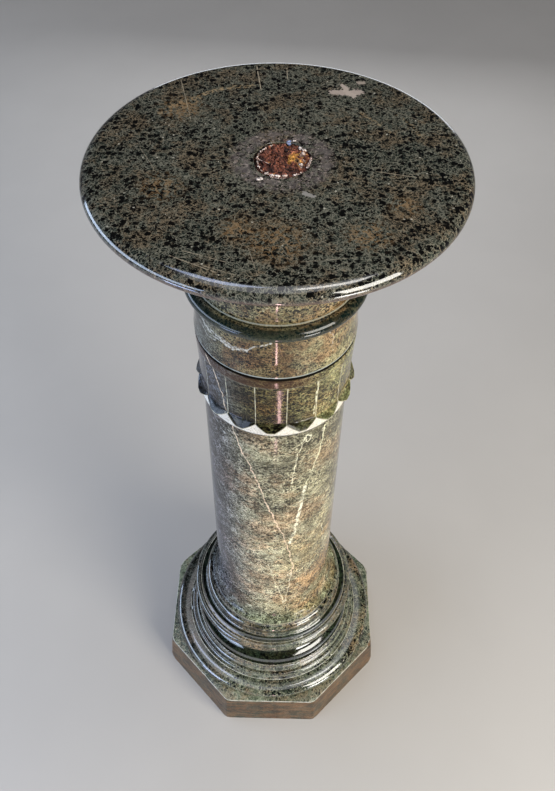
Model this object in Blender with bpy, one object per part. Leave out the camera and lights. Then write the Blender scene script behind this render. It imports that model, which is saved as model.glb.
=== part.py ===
"""A green serpentine marble pedestal: an octagonal plinth, a turned base moulding, a shaft with a
carved collar of tongues, a turned capital, and a round top slab with a filled socket.

Metres, +Z up. The origin is the centre of the plinth's underside, and one flat of the plinth
faces -Y. An outline lists (radius, height) points down the outer side of a turned piece.
"""

from math import cos, pi, radians, sin

import bmesh
import bpy
from mathutils import Matrix, Vector

# ---------------------------------------------------------------- driving dimensions
total_height = 1.006
gap = 0.0003  # between pieces that rest on one another
turned_steps = 40  # facets round a turned piece

slab_radius = 0.170
slab_thickness = 0.018
slab_edge_depth = 0.012  # how far the rounded rim reaches in from the edge

socket_radius = 0.026
socket_depth = 0.010
socket_place = (0.0040, -0.0025)
socket_steps = 24
filling_below_face = 0.0022
filling_lump = 0.0009
filling_clearance = 0.0004

capital_top_radius = 0.1200
ovolo_height = 0.0130
ovolo_reach = 0.0120
neck_radius = 0.0837
neck_foot = 0.8832  # where the neck meets the ring
ring_reach = 0.0075
drum_radius = 0.0854
drum_lip = 0.0017  # how far the drum's foot spreads

collar_joint = 0.8120  # the dark joint between the capital and the shaft
joint_height = 0.0030
joint_depth = 0.0060
tongue_count = 16
tongue_steps = 4  # facets across one tongue
collar_turn = radians(9.4)  # from the front to the nearest arris between two tongues
band_radius = 0.0870
flute_top = 0.7955
flare_start = 0.7640
arris_radius = 0.0855
tip_radius = 0.0912
tip_height = 0.7262
notch_radius = 0.0872
notch_height = 0.7340
tongue_lip = 0.0015
collar_foot = 0.7142
collar_foot_radius = 0.0861

shaft_top_radius = 0.0832
shaft_taper = 0.0111  # radius gained for each metre further down
flare_height = 0.0340
foot_radius = 0.1029
foot_fillet = 0.0056
foot_joint = 0.2224

bead_centre = 0.1012
bead_reach = 0.0090
ledge_roll_centre = (0.1085, 0.1983)
ledge_roll_reach = 0.0040
ledge_floor = (0.1160, 0.1955)
torus_crease = (0.1212, 0.1951)
upper_torus_centre = (0.1245, 0.1895)
upper_torus_reach = 0.0064
torus_arris = (0.1303, 0.1820)
scotia_centre = (0.1290, 0.1490)
scotia_reach = (0.0250, 0.0325)
lip_radius = 0.1301
lip_top = 0.1166
lip_height = 0.0034
upper_bead_centre = (0.1315, 0.1070)
upper_bead_reach = 0.0060
lower_bead_centre = (0.1390, 0.0980)
lower_bead_reach = 0.0044
torus_inner_arris = (0.1462, 0.0938)
lower_torus_radius = 0.1712
lower_torus_reach = (0.0172, 0.0103)

plinth_height = 0.0732
plinth_foot_flats = 0.3660  # across the flats
plinth_top_flats = 0.3518
plinth_arris = 0.0015


# ---------------------------------------------------------------- helpers
def stone(name, colour, roughness):
    """A Principled material of one plain colour."""
    material = bpy.data.materials.new(name)
    material.use_nodes = True
    shader = material.node_tree.nodes["Principled BSDF"]
    shader.inputs["Base Color"].default_value = (*colour, 1.0)
    shader.inputs["Roughness"].default_value = roughness
    shader.inputs["Metallic"].default_value = 0.0
    material.diffuse_color = (*colour, 1.0)
    return material


def arc(centre, reach, first, last, steps):
    """Points of an ellipse about centre = (radius, height), from one angle to another in degrees."""
    angles = [radians(first + (last - first) * step / steps) for step in range(steps + 1)]
    return [(centre[0] + reach[0] * cos(a), centre[1] + reach[1] * sin(a)) for a in angles]


def circle_arc(centre, reach, first, last, steps):
    return arc(centre, (reach, reach), first, last, steps)


def ring(steps, radius_at, height_at, turn=0.0):
    """Points once round the axis; radius and height depend on the angle from the front."""
    angles = [turn + 2 * pi * step / steps for step in range(steps)]
    return [Vector((radius_at(a) * sin(a), -radius_at(a) * cos(a), height_at(a))) for a in angles]


def level(value):
    """A radius or height that is the same all round."""
    return lambda angle: value


def add_object(name, bm, material, place=(0.0, 0.0)):
    """Makes the bmesh an object that is smooth between its sharp edges."""
    bmesh.ops.recalc_face_normals(bm, faces=bm.faces)
    mesh = bpy.data.meshes.new(name)
    bm.to_mesh(mesh)
    bm.free()
    mesh.shade_smooth()
    mesh.set_sharp_from_angle(angle=radians(32))
    mesh.materials.append(material)
    obj = bpy.data.objects.new(name, mesh)
    obj.location = (place[0], place[1], 0.0)
    bpy.context.scene.collection.objects.link(obj)
    return obj


def turned(name, outline, material):
    """Spins an outline once round the axis; both its ends are closed to the axis."""
    bm = bmesh.new()
    ends = [(0.0, outline[0][1]), *outline, (0.0, outline[-1][1])]
    points = [bm.verts.new((radius, 0.0, height)) for radius, height in ends]
    edges = [bm.edges.new(pair) for pair in zip(points, points[1:])]
    bmesh.ops.spin(
        bm,
        geom=points + edges,
        axis=(0, 0, 1),
        cent=(0, 0, 0),
        angle=2 * pi,
        steps=turned_steps,
        use_merge=True,
    )
    bmesh.ops.remove_doubles(bm, verts=bm.verts, dist=1e-6)
    return add_object(name, bm, material)


def lofted(name, rings, material, place=(0.0, 0.0)):
    """Joins rings of equally many points, top to bottom, and closes both ends with a fan."""
    bm = bmesh.new()
    rows = [[bm.verts.new(point) for point in points] for points in rings]
    count = len(rows[0])
    for upper, lower in zip(rows, rows[1:]):
        for i in range(count):
            j = (i + 1) % count
            bm.faces.new((upper[i], lower[i], lower[j], upper[j]))
    for row in (rows[0], rows[-1]):
        middle = bm.verts.new((0.0, 0.0, sum(v.co.z for v in row) / count))
        for i in range(count):
            bm.faces.new((row[i], row[(i + 1) % count], middle))
    return add_object(name, bm, material, place)


# ---------------------------------------------------------------- top slab and its socket
def socket_outline(a):
    """The socket's slightly uneven rim, as a radius at an angle."""
    uneven = 0.030 * cos(2 * a + 0.3) + 0.018 * cos(3 * a + 1.1) + 0.012 * cos(7 * a)
    return socket_radius * (1 + uneven)


def make_top_slab(material):
    middle = total_height - slab_thickness / 2
    rim_centre = (slab_radius - slab_edge_depth, middle)
    rim = arc(rim_centre, (slab_edge_depth, slab_thickness / 2), 90, -90, 8)
    slab = turned("top_slab", rim, material)

    over = total_height + socket_depth
    floor = total_height - socket_depth
    walls = [ring(socket_steps, socket_outline, level(height)) for height in (over, floor)]
    cutter = lofted("socket_cutter", walls, material, socket_place)
    cutter.hide_render = True
    cutter.display_type = "WIRE"
    cut = slab.modifiers.new("socket", "BOOLEAN")
    cut.operation = "DIFFERENCE"
    cut.solver = "EXACT"
    cut.object = cutter


def make_socket_filling(material):
    """The rusty plug: lumpy rings that shrink to its middle, over a snug wall."""
    face = total_height - filling_below_face
    floor = total_height - socket_depth + gap

    def lumps(share):
        def height(a):
            waves = cos(3 * a + 5 * share) + cos(5 * a - 9 * share) + sin(8 * a + 2 * share)
            return face - 0.0012 * share**4 + filling_lump * waves / 2

        return height

    def shrunk(share):
        return lambda a: socket_outline(a) * share

    def snug(a):
        return socket_outline(a) - filling_clearance

    shares = (0.30, 0.60, 0.92)
    rings = [ring(socket_steps, shrunk(share), lumps(share)) for share in shares]
    rings.append(ring(socket_steps, snug, level(face - 0.0030)))
    rings.append(ring(socket_steps, snug, level(floor)))
    lofted("socket_filling", rings, material, socket_place)


# ---------------------------------------------------------------- capital
def make_capital(material):
    """A fillet and an ovolo under the slab, then a flaring neck, a ring and a plain drum."""
    top = total_height - slab_thickness - gap
    fillet_foot = top - 0.0062
    ovolo_foot = fillet_foot - ovolo_height
    cavetto_top = ovolo_foot - 0.0020
    cavetto_foot = neck_foot + 0.0170
    cavetto_radius = capital_top_radius - ovolo_reach
    cavetto_reach = (neck_radius - cavetto_radius, cavetto_top - cavetto_foot)
    ring_centre = (neck_radius + 0.0030, neck_foot - ring_reach)
    drum_top = neck_foot - 2 * ring_reach
    spread = collar_joint + 0.0200

    outline = [(capital_top_radius, top), (capital_top_radius, fillet_foot)]
    outline += arc((cavetto_radius, fillet_foot), (ovolo_reach - 0.0015, ovolo_height), 0, -90, 3)
    outline += arc((cavetto_radius, cavetto_foot), cavetto_reach, 90, 0, 5)
    outline += circle_arc(ring_centre, ring_reach, 112, -84, 7)
    outline += [(drum_radius, drum_top - 0.0012)]
    outline += [(drum_radius + 0.1 * drum_lip, spread)]
    outline += [(drum_radius + 0.6 * drum_lip, spread - 0.0110)]
    outline += [(drum_radius + drum_lip, spread - 0.0165), (drum_radius + drum_lip, collar_joint + gap)]
    turned("capital", outline, material)


# ---------------------------------------------------------------- shaft with its collar
def across(a):
    """Where an angle lies across its tongue: 0 at the tongue's middle, 1 at an arris."""
    tongue = 2 * pi / tongue_count
    return 2 * abs(((a - collar_turn) / tongue) % 1.0 - 0.5)


def flat_sided(corner_radius):
    """The radius of a prism with one flat for each tongue and its corners on the arrises."""
    half = pi / tongue_count
    return lambda a: corner_radius * cos(half) / cos(half * across(a))


def tip_height_at(a):
    return tip_height + (notch_height - tip_height) * across(a) ** 2


def tip_radius_at(a):
    return tip_radius + (notch_radius - tip_radius) * across(a) ** 2


def flared(share):
    """Radius and height functions part of the way down the tongues' flare, 1 at their tips."""
    upper = flat_sided(arris_radius)

    def radius_at(a):
        return upper(a) + (tip_radius_at(a) - upper(a)) * share**2

    def height_at(a):
        return flare_start + (tip_height_at(a) - flare_start) * share

    return radius_at, height_at


def make_shaft(material):
    """The collar, the plain shaft and its flared foot, cut from one stone."""
    steps = tongue_count * tongue_steps
    band_top = collar_joint - joint_height
    shaft_top = collar_foot - 0.0014
    cove_foot = foot_joint + foot_fillet
    cove_top = cove_foot + flare_height
    cove_radius = shaft_top_radius + (shaft_top - cove_top) * shaft_taper

    rows = [
        (level(band_radius - joint_depth), level(collar_joint)),
        (level(band_radius - joint_depth), level(band_top)),
        (level(band_radius - 0.0006), level(band_top)),
        (level(band_radius), level(band_top - 0.0010)),
        (level(band_radius - 0.0002), level(flute_top)),
        (flat_sided(band_radius - 0.0004), level(flute_top - 0.0008)),
        (flat_sided(arris_radius), level(flare_start)),
    ]
    rows += [flared(share) for share in (0.40, 0.72, 1.0)]
    # Each tip overhangs a plain ring, which shows as a triangle between two tongues.
    rows.append((level(notch_radius - 0.0006), lambda a: tip_height_at(a) - tongue_lip))
    rows.append((level(collar_foot_radius), level(collar_foot)))
    rows.append((level(shaft_top_radius + 0.0004), level(shaft_top)))
    rows.append((level(shaft_top_radius), level(shaft_top - 0.0020)))
    cove = arc((foot_radius, cove_top), (cove_radius - foot_radius, cove_foot - cove_top), 0, 90, 5)
    rows += [(level(radius), level(height)) for radius, height in cove]
    rows.append((level(foot_radius), level(foot_joint)))

    rings = [ring(steps, radius_at, height_at, collar_turn) for radius_at, height_at in rows]
    lofted("shaft", rings, material)


# ---------------------------------------------------------------- base moulding
def make_base_moulding(material):
    """Bead, ledge, torus, scotia, lip, two small beads and the lower torus, in one block."""
    top = foot_joint - gap
    bed = plinth_height + gap
    hollow = (-scotia_reach[0], scotia_reach[1])
    lower_centre = (lower_torus_radius - lower_torus_reach[0], bed + lower_torus_reach[1])

    outline = circle_arc((bead_centre, top - bead_reach), bead_reach, 90, -72, 4)
    outline += circle_arc(ledge_roll_centre, ledge_roll_reach, 130, -10, 3)
    outline += [ledge_floor, torus_crease]
    outline += circle_arc(upper_torus_centre, upper_torus_reach, 105, 0, 4)
    outline += [torus_arris]
    outline += arc(scotia_centre, hollow, 84, -88, 7)
    outline += [(lip_radius, lip_top), (lip_radius, lip_top - lip_height)]
    outline += circle_arc(upper_bead_centre, upper_bead_reach, 80, -60, 4)
    outline += circle_arc(lower_bead_centre, lower_bead_reach, 110, -40, 4)
    outline += [torus_inner_arris]
    outline += arc(lower_centre, lower_torus_reach, 90, -90, 8)
    turned("base_moulding", outline, material)


# ---------------------------------------------------------------- plinth
def make_plinth(material):
    """An octagonal block whose sides lean in a little and whose arrises are worn."""
    to_corner = 0.5 / cos(pi / 8)
    bm = bmesh.new()
    bmesh.ops.create_cone(
        bm,
        cap_ends=True,
        segments=8,
        radius1=plinth_foot_flats * to_corner,
        radius2=plinth_top_flats * to_corner,
        depth=plinth_height,
    )
    onto_flat = Matrix.Rotation(pi / 8, 3, "Z")
    bmesh.ops.rotate(bm, verts=bm.verts, cent=(0, 0, 0), matrix=onto_flat)
    bmesh.ops.translate(bm, verts=bm.verts, vec=(0, 0, plinth_height / 2))
    plinth = add_object("plinth", bm, material)
    worn = plinth.modifiers.new("worn_arris", "BEVEL")
    worn.width = plinth_arris
    worn.segments = 1
    worn.limit_method = "ANGLE"


def main():
    for obj in list(bpy.data.objects):
        bpy.data.objects.remove(obj)
    make_plinth(stone("plinth_stone", (0.125, 0.130, 0.085), 0.30))
    make_base_moulding(stone("base_stone", (0.105, 0.125, 0.080), 0.22))
    make_shaft(stone("shaft_stone", (0.230, 0.215, 0.130), 0.20))
    make_capital(stone("capital_stone", (0.130, 0.135, 0.085), 0.20))
    make_top_slab(stone("slab_stone", (0.042, 0.048, 0.036), 0.18))
    make_socket_filling(stone("rusty_filling", (0.220, 0.075, 0.030), 0.85))


main()
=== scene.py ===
from math import cos, pi, radians, sin

import bmesh
import bpy
import numpy as np
from mathutils import Matrix, Vector, noise


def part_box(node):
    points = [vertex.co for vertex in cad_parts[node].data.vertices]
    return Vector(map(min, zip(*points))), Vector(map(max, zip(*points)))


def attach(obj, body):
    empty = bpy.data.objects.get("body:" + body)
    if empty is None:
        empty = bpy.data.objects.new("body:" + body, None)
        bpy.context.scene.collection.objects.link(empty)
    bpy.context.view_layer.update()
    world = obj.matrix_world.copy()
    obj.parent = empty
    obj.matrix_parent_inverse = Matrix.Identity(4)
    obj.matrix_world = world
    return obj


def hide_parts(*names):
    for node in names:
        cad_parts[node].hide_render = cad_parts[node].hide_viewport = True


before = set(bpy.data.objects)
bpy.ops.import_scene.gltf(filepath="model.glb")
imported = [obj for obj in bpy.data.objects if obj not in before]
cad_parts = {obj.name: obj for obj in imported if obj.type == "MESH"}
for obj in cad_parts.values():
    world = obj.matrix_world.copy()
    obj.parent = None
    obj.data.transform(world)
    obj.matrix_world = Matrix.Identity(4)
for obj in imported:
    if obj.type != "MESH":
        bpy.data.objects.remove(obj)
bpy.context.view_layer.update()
print("frame loaded")


# A sheet holds the nodes of one tree, and a wire is an output of one of them. Arithmetic on wires
# adds the nodes that work it out, and | keeps the larger of two values.
class Sheet:
    def __init__(self, tree):
        self.tree = tree

    def feed(self, socket, value):
        if isinstance(value, Wire):
            self.tree.links.new(value.socket, socket)
        elif socket.type == "RGBA" and len(value) == 3:
            socket.default_value = (*value, 1.0)
        else:
            socket.default_value = value

    def add(self, kind, inputs=None, output=0, **settings):
        node = self.tree.nodes.new(kind)
        for name, value in settings.items():
            setattr(node, name, value)
        for key, value in (inputs or {}).items():
            self.feed(node.inputs[key], value)
        return Wire(self, node.outputs[output])


class Wire:
    def __init__(self, sheet, socket):
        self.sheet = sheet
        self.socket = socket
        self.isVector = socket.type in ("VECTOR", "RGBA")

    # another output of the same node
    def also(self, output):
        return Wire(self.sheet, self.socket.node.outputs[output])

    def worked(self, operation, *values, output=0, **settings):
        kind = "ShaderNodeVectorMath" if self.isVector else "ShaderNodeMath"
        inputs = dict(enumerate((self, *values)))
        return self.sheet.add(kind, inputs, output, operation=operation, **settings)

    def __add__(self, other):
        return self.worked("ADD", other)

    def __sub__(self, other):
        return self.worked("SUBTRACT", other)

    def __rsub__(self, number):
        return self.worked("MULTIPLY_ADD", -1.0, number)

    def __mul__(self, other):
        if self.isVector and not isinstance(other, tuple):
            return self.sheet.add("ShaderNodeVectorMath", {0: self, "Scale": other}, operation="SCALE")
        return self.worked("MULTIPLY", other)

    def __neg__(self):
        return self * -1.0

    def __truediv__(self, other):
        return self.worked("DIVIDE", other)

    def __rtruediv__(self, number):
        return self.sheet.add("ShaderNodeMath", {0: number, 1: self}, operation="DIVIDE")

    def __or__(self, other):
        return self.worked("MAXIMUM", other)

    def __ror__(self, number):
        return self | number

    def __abs__(self):
        return self.worked("ABSOLUTE")

    def clamped(self):
        return self.worked("ADD", 0.0, use_clamp=True)

    def band(self, low, high, lowest=0.0, highest=1.0):
        inputs = {"Value": self, 1: low, 2: high, 3: lowest, 4: highest}
        return self.sheet.add("ShaderNodeMapRange", inputs, interpolation_type="SMOOTHSTEP")

    # 0, rising to 1 from start to full, and falling again from fading to end
    def between(self, start, full, fading, end):
        return self.band(start, full) * self.band(end, fading)

    def grey(self):
        return joined(self, self, self)

    # the share that this wire holds picks between two colours
    def choice(self, under, over):
        return self.sheet.add("ShaderNodeMix", {0: self, 6: under, 7: over}, 2, data_type="RGBA")

    def painted(self, share, over, mode="MIX"):
        inputs = {0: share, 6: self, 7: over}
        return self.sheet.add("ShaderNodeMix", inputs, 2, data_type="RGBA", blend_type=mode)

    def tinted(self, tint, share=1.0):
        return self.painted(share, tint, "MULTIPLY")

    def attribute(self, name):
        return self.sheet.add("ShaderNodeAttribute", None, "Fac", attribute_name=name)

    def parts(self):
        first = self.sheet.add("ShaderNodeSeparateXYZ", {0: self})
        return first, first.also(1), first.also(2)

    def length(self):
        return self.worked("LENGTH", output=1)

    def distanceTo(self, x, y):
        return (self - (x, y, 0.0)).length()

    def noise(self, scale, detail=3.0, rough=0.55, output=0):
        inputs = {"Vector": self, "Scale": scale, "Detail": detail, "Roughness": rough}
        return self.sheet.add("ShaderNodeTexNoise", inputs, output)

    def cells(self, scale, feature="F1"):
        return self.sheet.add("ShaderNodeTexVoronoi", {"Vector": self, "Scale": scale}, feature=feature)

    def warped(self, scale, reach, detail=2.0):
        return self + (self.noise(scale, detail, output=1) - (0.5, 0.5, 0.5)) * reach

    # 1 on a stroke between two points of the XY plane, fading over its width
    def stroke(self, start, end, width):
        along = Vector((end[0] - start[0], end[1] - start[1], 0.0))
        fromStart = self - (*start, 0.0)
        share = fromStart.worked("DOT_PRODUCT", tuple(along / along.length_squared), output=1).clamped()
        inputs = {0: tuple(along), "Scale": share}
        onLine = self.sheet.add("ShaderNodeVectorMath", inputs, operation="SCALE")
        away = (fromStart - onLine).length() / width
        return away.worked("MULTIPLY_ADD", -1.0, 1.0, use_clamp=True)

    # the largest of the strokes along a chain of points
    def strokes(self, chain, width):
        found = 0.0
        for start, end in zip(chain, chain[1:]):
            found |= self.stroke(start, end, width)
        return found


def joined(x, y, z):
    sheet = next(part.sheet for part in (x, y, z) if isinstance(part, Wire))
    return sheet.add("ShaderNodeCombineXYZ", {0: x, 1: y, 2: z})


# how far a place lies to the side, from -1 to 1, and its distance from the axis
def sideOf(place):
    x, y = place.parts()[:2]
    radius = joined(x, y, 0.0).length() | 0.001
    return x / radius, radius


# a shaded copy of the same stone, with more contrast and less colour: painted shade
def shadedStone(colour, tint):
    tone = colour.sheet.add("ShaderNodeRGBToBW", {"Color": colour}).worked("POWER", 2.1)
    return tone.grey().painted(0.3, colour.tinted(colour)).tinted(tint)


# a round wall laid flat: metres round it from the front (-Y) towards +X, and height
def unrolled(place, radius):
    x, y, z = place.parts()
    return joined(x.worked("ARCTAN2", -y) * radius, z, 0.0)


def laidFlat(chain, radius):
    return [(radians(azimuth) * radius, height) for azimuth, height in chain]


# a new material with its sheet, the inputs of its shader, and the place on the object
def newMaterial(name):
    material = bpy.data.materials.new(name)
    material.use_nodes = True
    sheet = Sheet(material.node_tree)
    shader = material.node_tree.nodes["Principled BSDF"].inputs
    return material, sheet, shader, sheet.add("ShaderNodeTexCoord", None, "Object")


def bump(height, strength, distance):
    inputs = {"Strength": strength, "Distance": distance, "Height": height}
    return height.sheet.add("ShaderNodeBump", inputs)


# what the stones have in common; each piece's own look adds to it or replaces it
stoneLook = {
    "stretch": (1.0, 1.0, 1.3), "mottleScale": 300.0, "netWidth": 0.13, "netSparse": 0.44,
    "speck": (0.002, 0.003, 0.002), "speckSize": 0.58, "smallSpecks": 0.7, "dotShare": 0.08,
    "arrisShare": 0.9, "warpScale": 130.0, "warpReach": 0.006, "gloss": 0.05, "bump": 0.12,
}


# Serpentine: a mottled ground, a net of pale threads, dark grains and a few pale dots.
# marks(place, colour) paints what belongs to one piece alone.
def serpentine(name, ownLook, marks):
    look = {**stoneLook, **ownLook}
    material, sheet, shader, place = newMaterial(name)
    sheet.feed(shader["IOR"], look["ior"])
    grain = place * look["stretch"]
    bent = grain.warped(look["warpScale"], look["warpReach"], 3.0)
    curled = bent.warped(look["warpScale"] * 3.4, look["warpReach"] * 0.42)

    drift = (grain + (0.31, 0.17, 0.05)).noise(look["driftScale"], 5.0, 0.65)
    ground = drift.band(0.4, 0.6).choice(look["shade"], look["light"])
    browning = (grain + (0.83, 0.02, 0.41)).noise(look["brownScale"], 6.0, 0.8).band(0.46, 0.6)
    ground = ground.painted(browning * look["brownShare"], look["brown"])
    mottle = curled.noise(look["mottleScale"], 4.0, 0.8)
    colour = ground.tinted(mottle.band(0.34, 0.66, look["mottleLow"], look["mottleHigh"]).grey())

    # pale threads: a coarse and a fine net, and longer fibres that wander
    width, sparse = look["netWidth"], look["netSparse"]
    net = curled.cells(look["netScale"], "DISTANCE_TO_EDGE")
    fineNet = (curled + (0.2, 0.1, 0.3)).cells(look["netScale"] * 1.8, "DISTANCE_TO_EDGE")
    fibre = abs((curled + (0.1, 0.4, 0.2)).noise(look["netScale"] * 0.42) - 0.5)
    netPatch = grain.noise(look["netPatchScale"], 5.0, 0.8)
    finePatch = (grain + (0.5, 0.0, 0.0)).noise(look["netPatchScale"] * 2.7, 4.0, 0.8)
    threads = net.band(width, 0.02) * netPatch.band(sparse, sparse + 0.14)
    threads |= fineNet.band(width, 0.02) * finePatch.band(sparse + 0.03, sparse + 0.14)
    threads |= fibre.band(look["fibreWidth"], 0.004) * finePatch.band(0.56, 0.44)
    threads *= look["netShare"]
    colour = colour.painted(threads, browning.choice(look["net"], look["netBrown"]))

    # dark grains, large ones and small ones between them
    specks = 0.0
    crowd = grain.noise(21.0, 4.0, 0.65).band(0.36, 0.6, look["speckSparse"], 1.0)
    for scale, share in ((look["speckScale"], 1.0), (look["speckScale"] * 2.1, look["smallSpecks"])):
        grains = grain.warped(scale * 2.3, 1.0 / scale, 3.0).cells(scale)
        size = grains.also("Color").parts()[0].band(1.0 - share, 1.0, 0.0, look["speckSize"])
        specks |= (grains - size * crowd).band(0.03, -0.05)
    colour = colour.painted(specks * look["speckDark"], look["speck"])

    dots = place.warped(700.0, 0.002).cells(look["dotScale"])
    lit = dots.also("Color").parts()[1]
    least = 1.0 - look["dotShare"]
    dotted = (dots - lit.band(least, 1.0, 0.02, 0.26)).band(0.03, -0.05) * lit.band(least, least + 0.01)
    colour, dull = marks(place, colour.painted(dotted * 0.8, look["dot"]))

    worn = place.attribute("worn").band(0.25, 0.85) * place.noise(120.0).band(0.35, 0.6, 0.45, 1.0)
    sheet.feed(shader["Base Color"], colour.painted(worn * look["arrisShare"], look["arris"]))
    haze = place.noise(18.0, 4.0, 0.65).band(0.35, 0.7, look["gloss"], look["gloss"] + 0.05)
    haze = haze + threads * 0.04 + worn * 0.15 + dull * 0.45
    sheet.feed(shader["Roughness"], haze.clamped())
    relief = place.noise(55.0, 2.0) * 1.5 - specks * 0.35
    sheet.feed(shader["Normal"], bump(relief, look["bump"], 0.0003))
    return material


# outlines list (radius, height, wear) down the outer side of a turned piece
def arc(centre, reach, first, last, steps):
    angles = [radians(first + (last - first) * step / steps) for step in range(steps + 1)]
    return [(centre[0] + reach[0] * cos(a), centre[1] + reach[1] * sin(a), 0.0) for a in angles]


def circleArc(centre, reach, first, last, steps):
    return arc(centre, (reach, reach), first, last, steps)


# each point that carries wear becomes a small round arris
def softened(outline, size):
    soft = [outline[0]]
    for before, here, after in zip(outline, outline[1:], outline[2:]):
        if here[2] == 0.0:
            soft.append(here)
            continue
        middle = Vector(here[:2])
        back = Vector(before[:2]) - middle
        ahead = Vector(after[:2]) - middle
        start = middle + back.normalized() * min(size, back.length * 0.45)
        end = middle + ahead.normalized() * min(size, ahead.length * 0.45)
        for share in (0.0, 0.25, 0.5, 0.75, 1.0):
            point = start * (1 - share) ** 2 + middle * 2 * share * (1 - share) + end * share**2
            soft.append((point.x, point.y, here[2] * (1 - 0.9 * abs(2 * share - 1))))
    return soft + [outline[-1]]


def refined(outline, longest):
    fine = [outline[0]]
    for before, here in zip(outline, outline[1:]):
        length = (Vector(here[:2]) - Vector(before[:2])).length
        steps = max(1, round(length / longest))
        for step in range(1, steps + 1):
            share = step / steps
            fine.append(tuple(b + (h - b) * share for b, h in zip(before, here)))
    return fine


# a Geometry Nodes tree with its sheet and the wires of its named inputs
def newTree(name, inputs):
    tree = bpy.data.node_groups.new(name, "GeometryNodeTree")
    for label, kind in (("Geometry", "Geometry"), *inputs):
        tree.interface.new_socket(label, in_out="INPUT", socket_type="NodeSocket" + kind)
    tree.interface.new_socket("Geometry", in_out="OUTPUT", socket_type="NodeSocketGeometry")
    sheet = Sheet(tree)
    enter = tree.nodes.new("NodeGroupInput")
    return sheet, {socket.name: Wire(sheet, socket) for socket in enter.outputs}


def finishTree(sheet, geometry, material):
    smooth = sheet.add("GeometryNodeSetShadeSmooth", {"Geometry": geometry})
    solid = sheet.add("GeometryNodeRealizeInstances", {"Geometry": smooth})
    dressed = sheet.add("GeometryNodeSetMaterial", {"Geometry": solid, "Material": material})
    sheet.feed(sheet.tree.nodes.new("NodeGroupOutput").inputs["Geometry"], dressed)
    return sheet.tree


def wornness(sheet):
    return sheet.add("GeometryNodeInputNamedAttribute", {"Name": "worn"}, "Attribute", data_type="FLOAT")


# neighbouring points are welded, chips bite into the arrises, and the polish is never quite true
def finishStone(sheet, geometry, weld, enter):
    closed = sheet.add("GeometryNodeMergeByDistance", {"Geometry": geometry, "Distance": weld})
    seeded = sheet.add("GeometryNodeInputPosition") + joined(enter["Seed"], 0.0, 0.0)
    bites = seeded.noise(1.0 / enter["Chip Size"], 3.0, 0.6).band(0.56, 0.7)
    bites = bites * wornness(sheet) * enter["Chip Depth"]
    waves = seeded.noise(22.0, 2.0) * enter["Ripple"]
    shift = sheet.add("GeometryNodeInputNormal") * -(bites + waves)
    worn = sheet.add("GeometryNodeSetPosition", {"Geometry": closed, "Offset": shift})
    return finishTree(sheet, worn, enter["Material"])


stoneInputs = [(label, "Float") for label in ("Seed", "Chip Size", "Chip Depth", "Ripple")]
stoneInputs.append(("Material", "Material"))


# the outline is turned round the axis; with Flats it is cut to a prism with soft corners
def makeTurningTree():
    inputs = [("Steps", "Int"), ("Flats", "Int"), ("Corner", "Float"), *stoneInputs]
    sheet, enter = newTree("turnedStone", inputs)
    outline, steps, flats = enter["Geometry"], enter["Steps"], enter["Flats"]
    count = sheet.add("GeometryNodeAttributeDomainSize", {"Geometry": outline}, "Point Count")
    sides = {"Size X": 1.0, "Size Y": 1.0, "Vertices X": steps + 1.0, "Vertices Y": count}
    grid = sheet.add("GeometryNodeMeshGrid", sides, "Mesh")
    index = sheet.add("GeometryNodeInputIndex")
    column = ((index + 0.25) / count).worked("FLOOR")

    point = {"Geometry": outline, "Value": sheet.add("GeometryNodeInputPosition")}
    point["Index"] = index.worked("MODULO", count)
    wear = sheet.add("GeometryNodeSampleIndex", {**point, "Value": wornness(sheet)})
    sampled = sheet.add("GeometryNodeSampleIndex", point, data_type="FLOAT_VECTOR").parts()
    radius, height = sampled[0], sampled[2]

    angle = column * (2 * pi) / steps
    half = pi / (flats | 1.0)
    onFlat = angle.worked("WRAP", half, -half)
    reach = 1.0 / onFlat.worked("COSINE")
    reach = reach.worked("SMOOTH_MIN", 1.0 / half.worked("COSINE"), enter["Corner"])
    isPrism = flats.worked("GREATER_THAN", 0.5)
    radius *= isPrism * (reach - 1.0) + 1.0
    spot = joined(radius * angle.worked("SINE"), -(radius * angle.worked("COSINE")), height)

    held = {"Geometry": grid, "Name": "worn", "Value": wear}
    held = sheet.add("GeometryNodeStoreNamedAttribute", held, data_type="FLOAT", domain="POINT")
    placed = sheet.add("GeometryNodeSetPosition", {"Geometry": held, "Position": spot})
    return finishStone(sheet, placed, 0.00001, enter)


# one wedge is repeated round the axis
def makeWedgeTree():
    sheet, enter = newTree("wedgesRoundTheAxis", [("Count", "Int"), *stoneInputs])
    count = enter["Count"]
    spots = sheet.add("GeometryNodeMeshLine", {"Count": count, "Offset": (0.0, 0.0, 0.0)})
    turn = sheet.add("GeometryNodeInputIndex") * (2 * pi) / count
    wedges = {"Points": spots, "Instance": enter["Geometry"], "Rotation": joined(0.0, 0.0, turn)}
    wedges = sheet.add("GeometryNodeInstanceOnPoints", wedges)
    solid = sheet.add("GeometryNodeRealizeInstances", {"Geometry": wedges})
    return finishStone(sheet, solid, 0.00002, enter)


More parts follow.
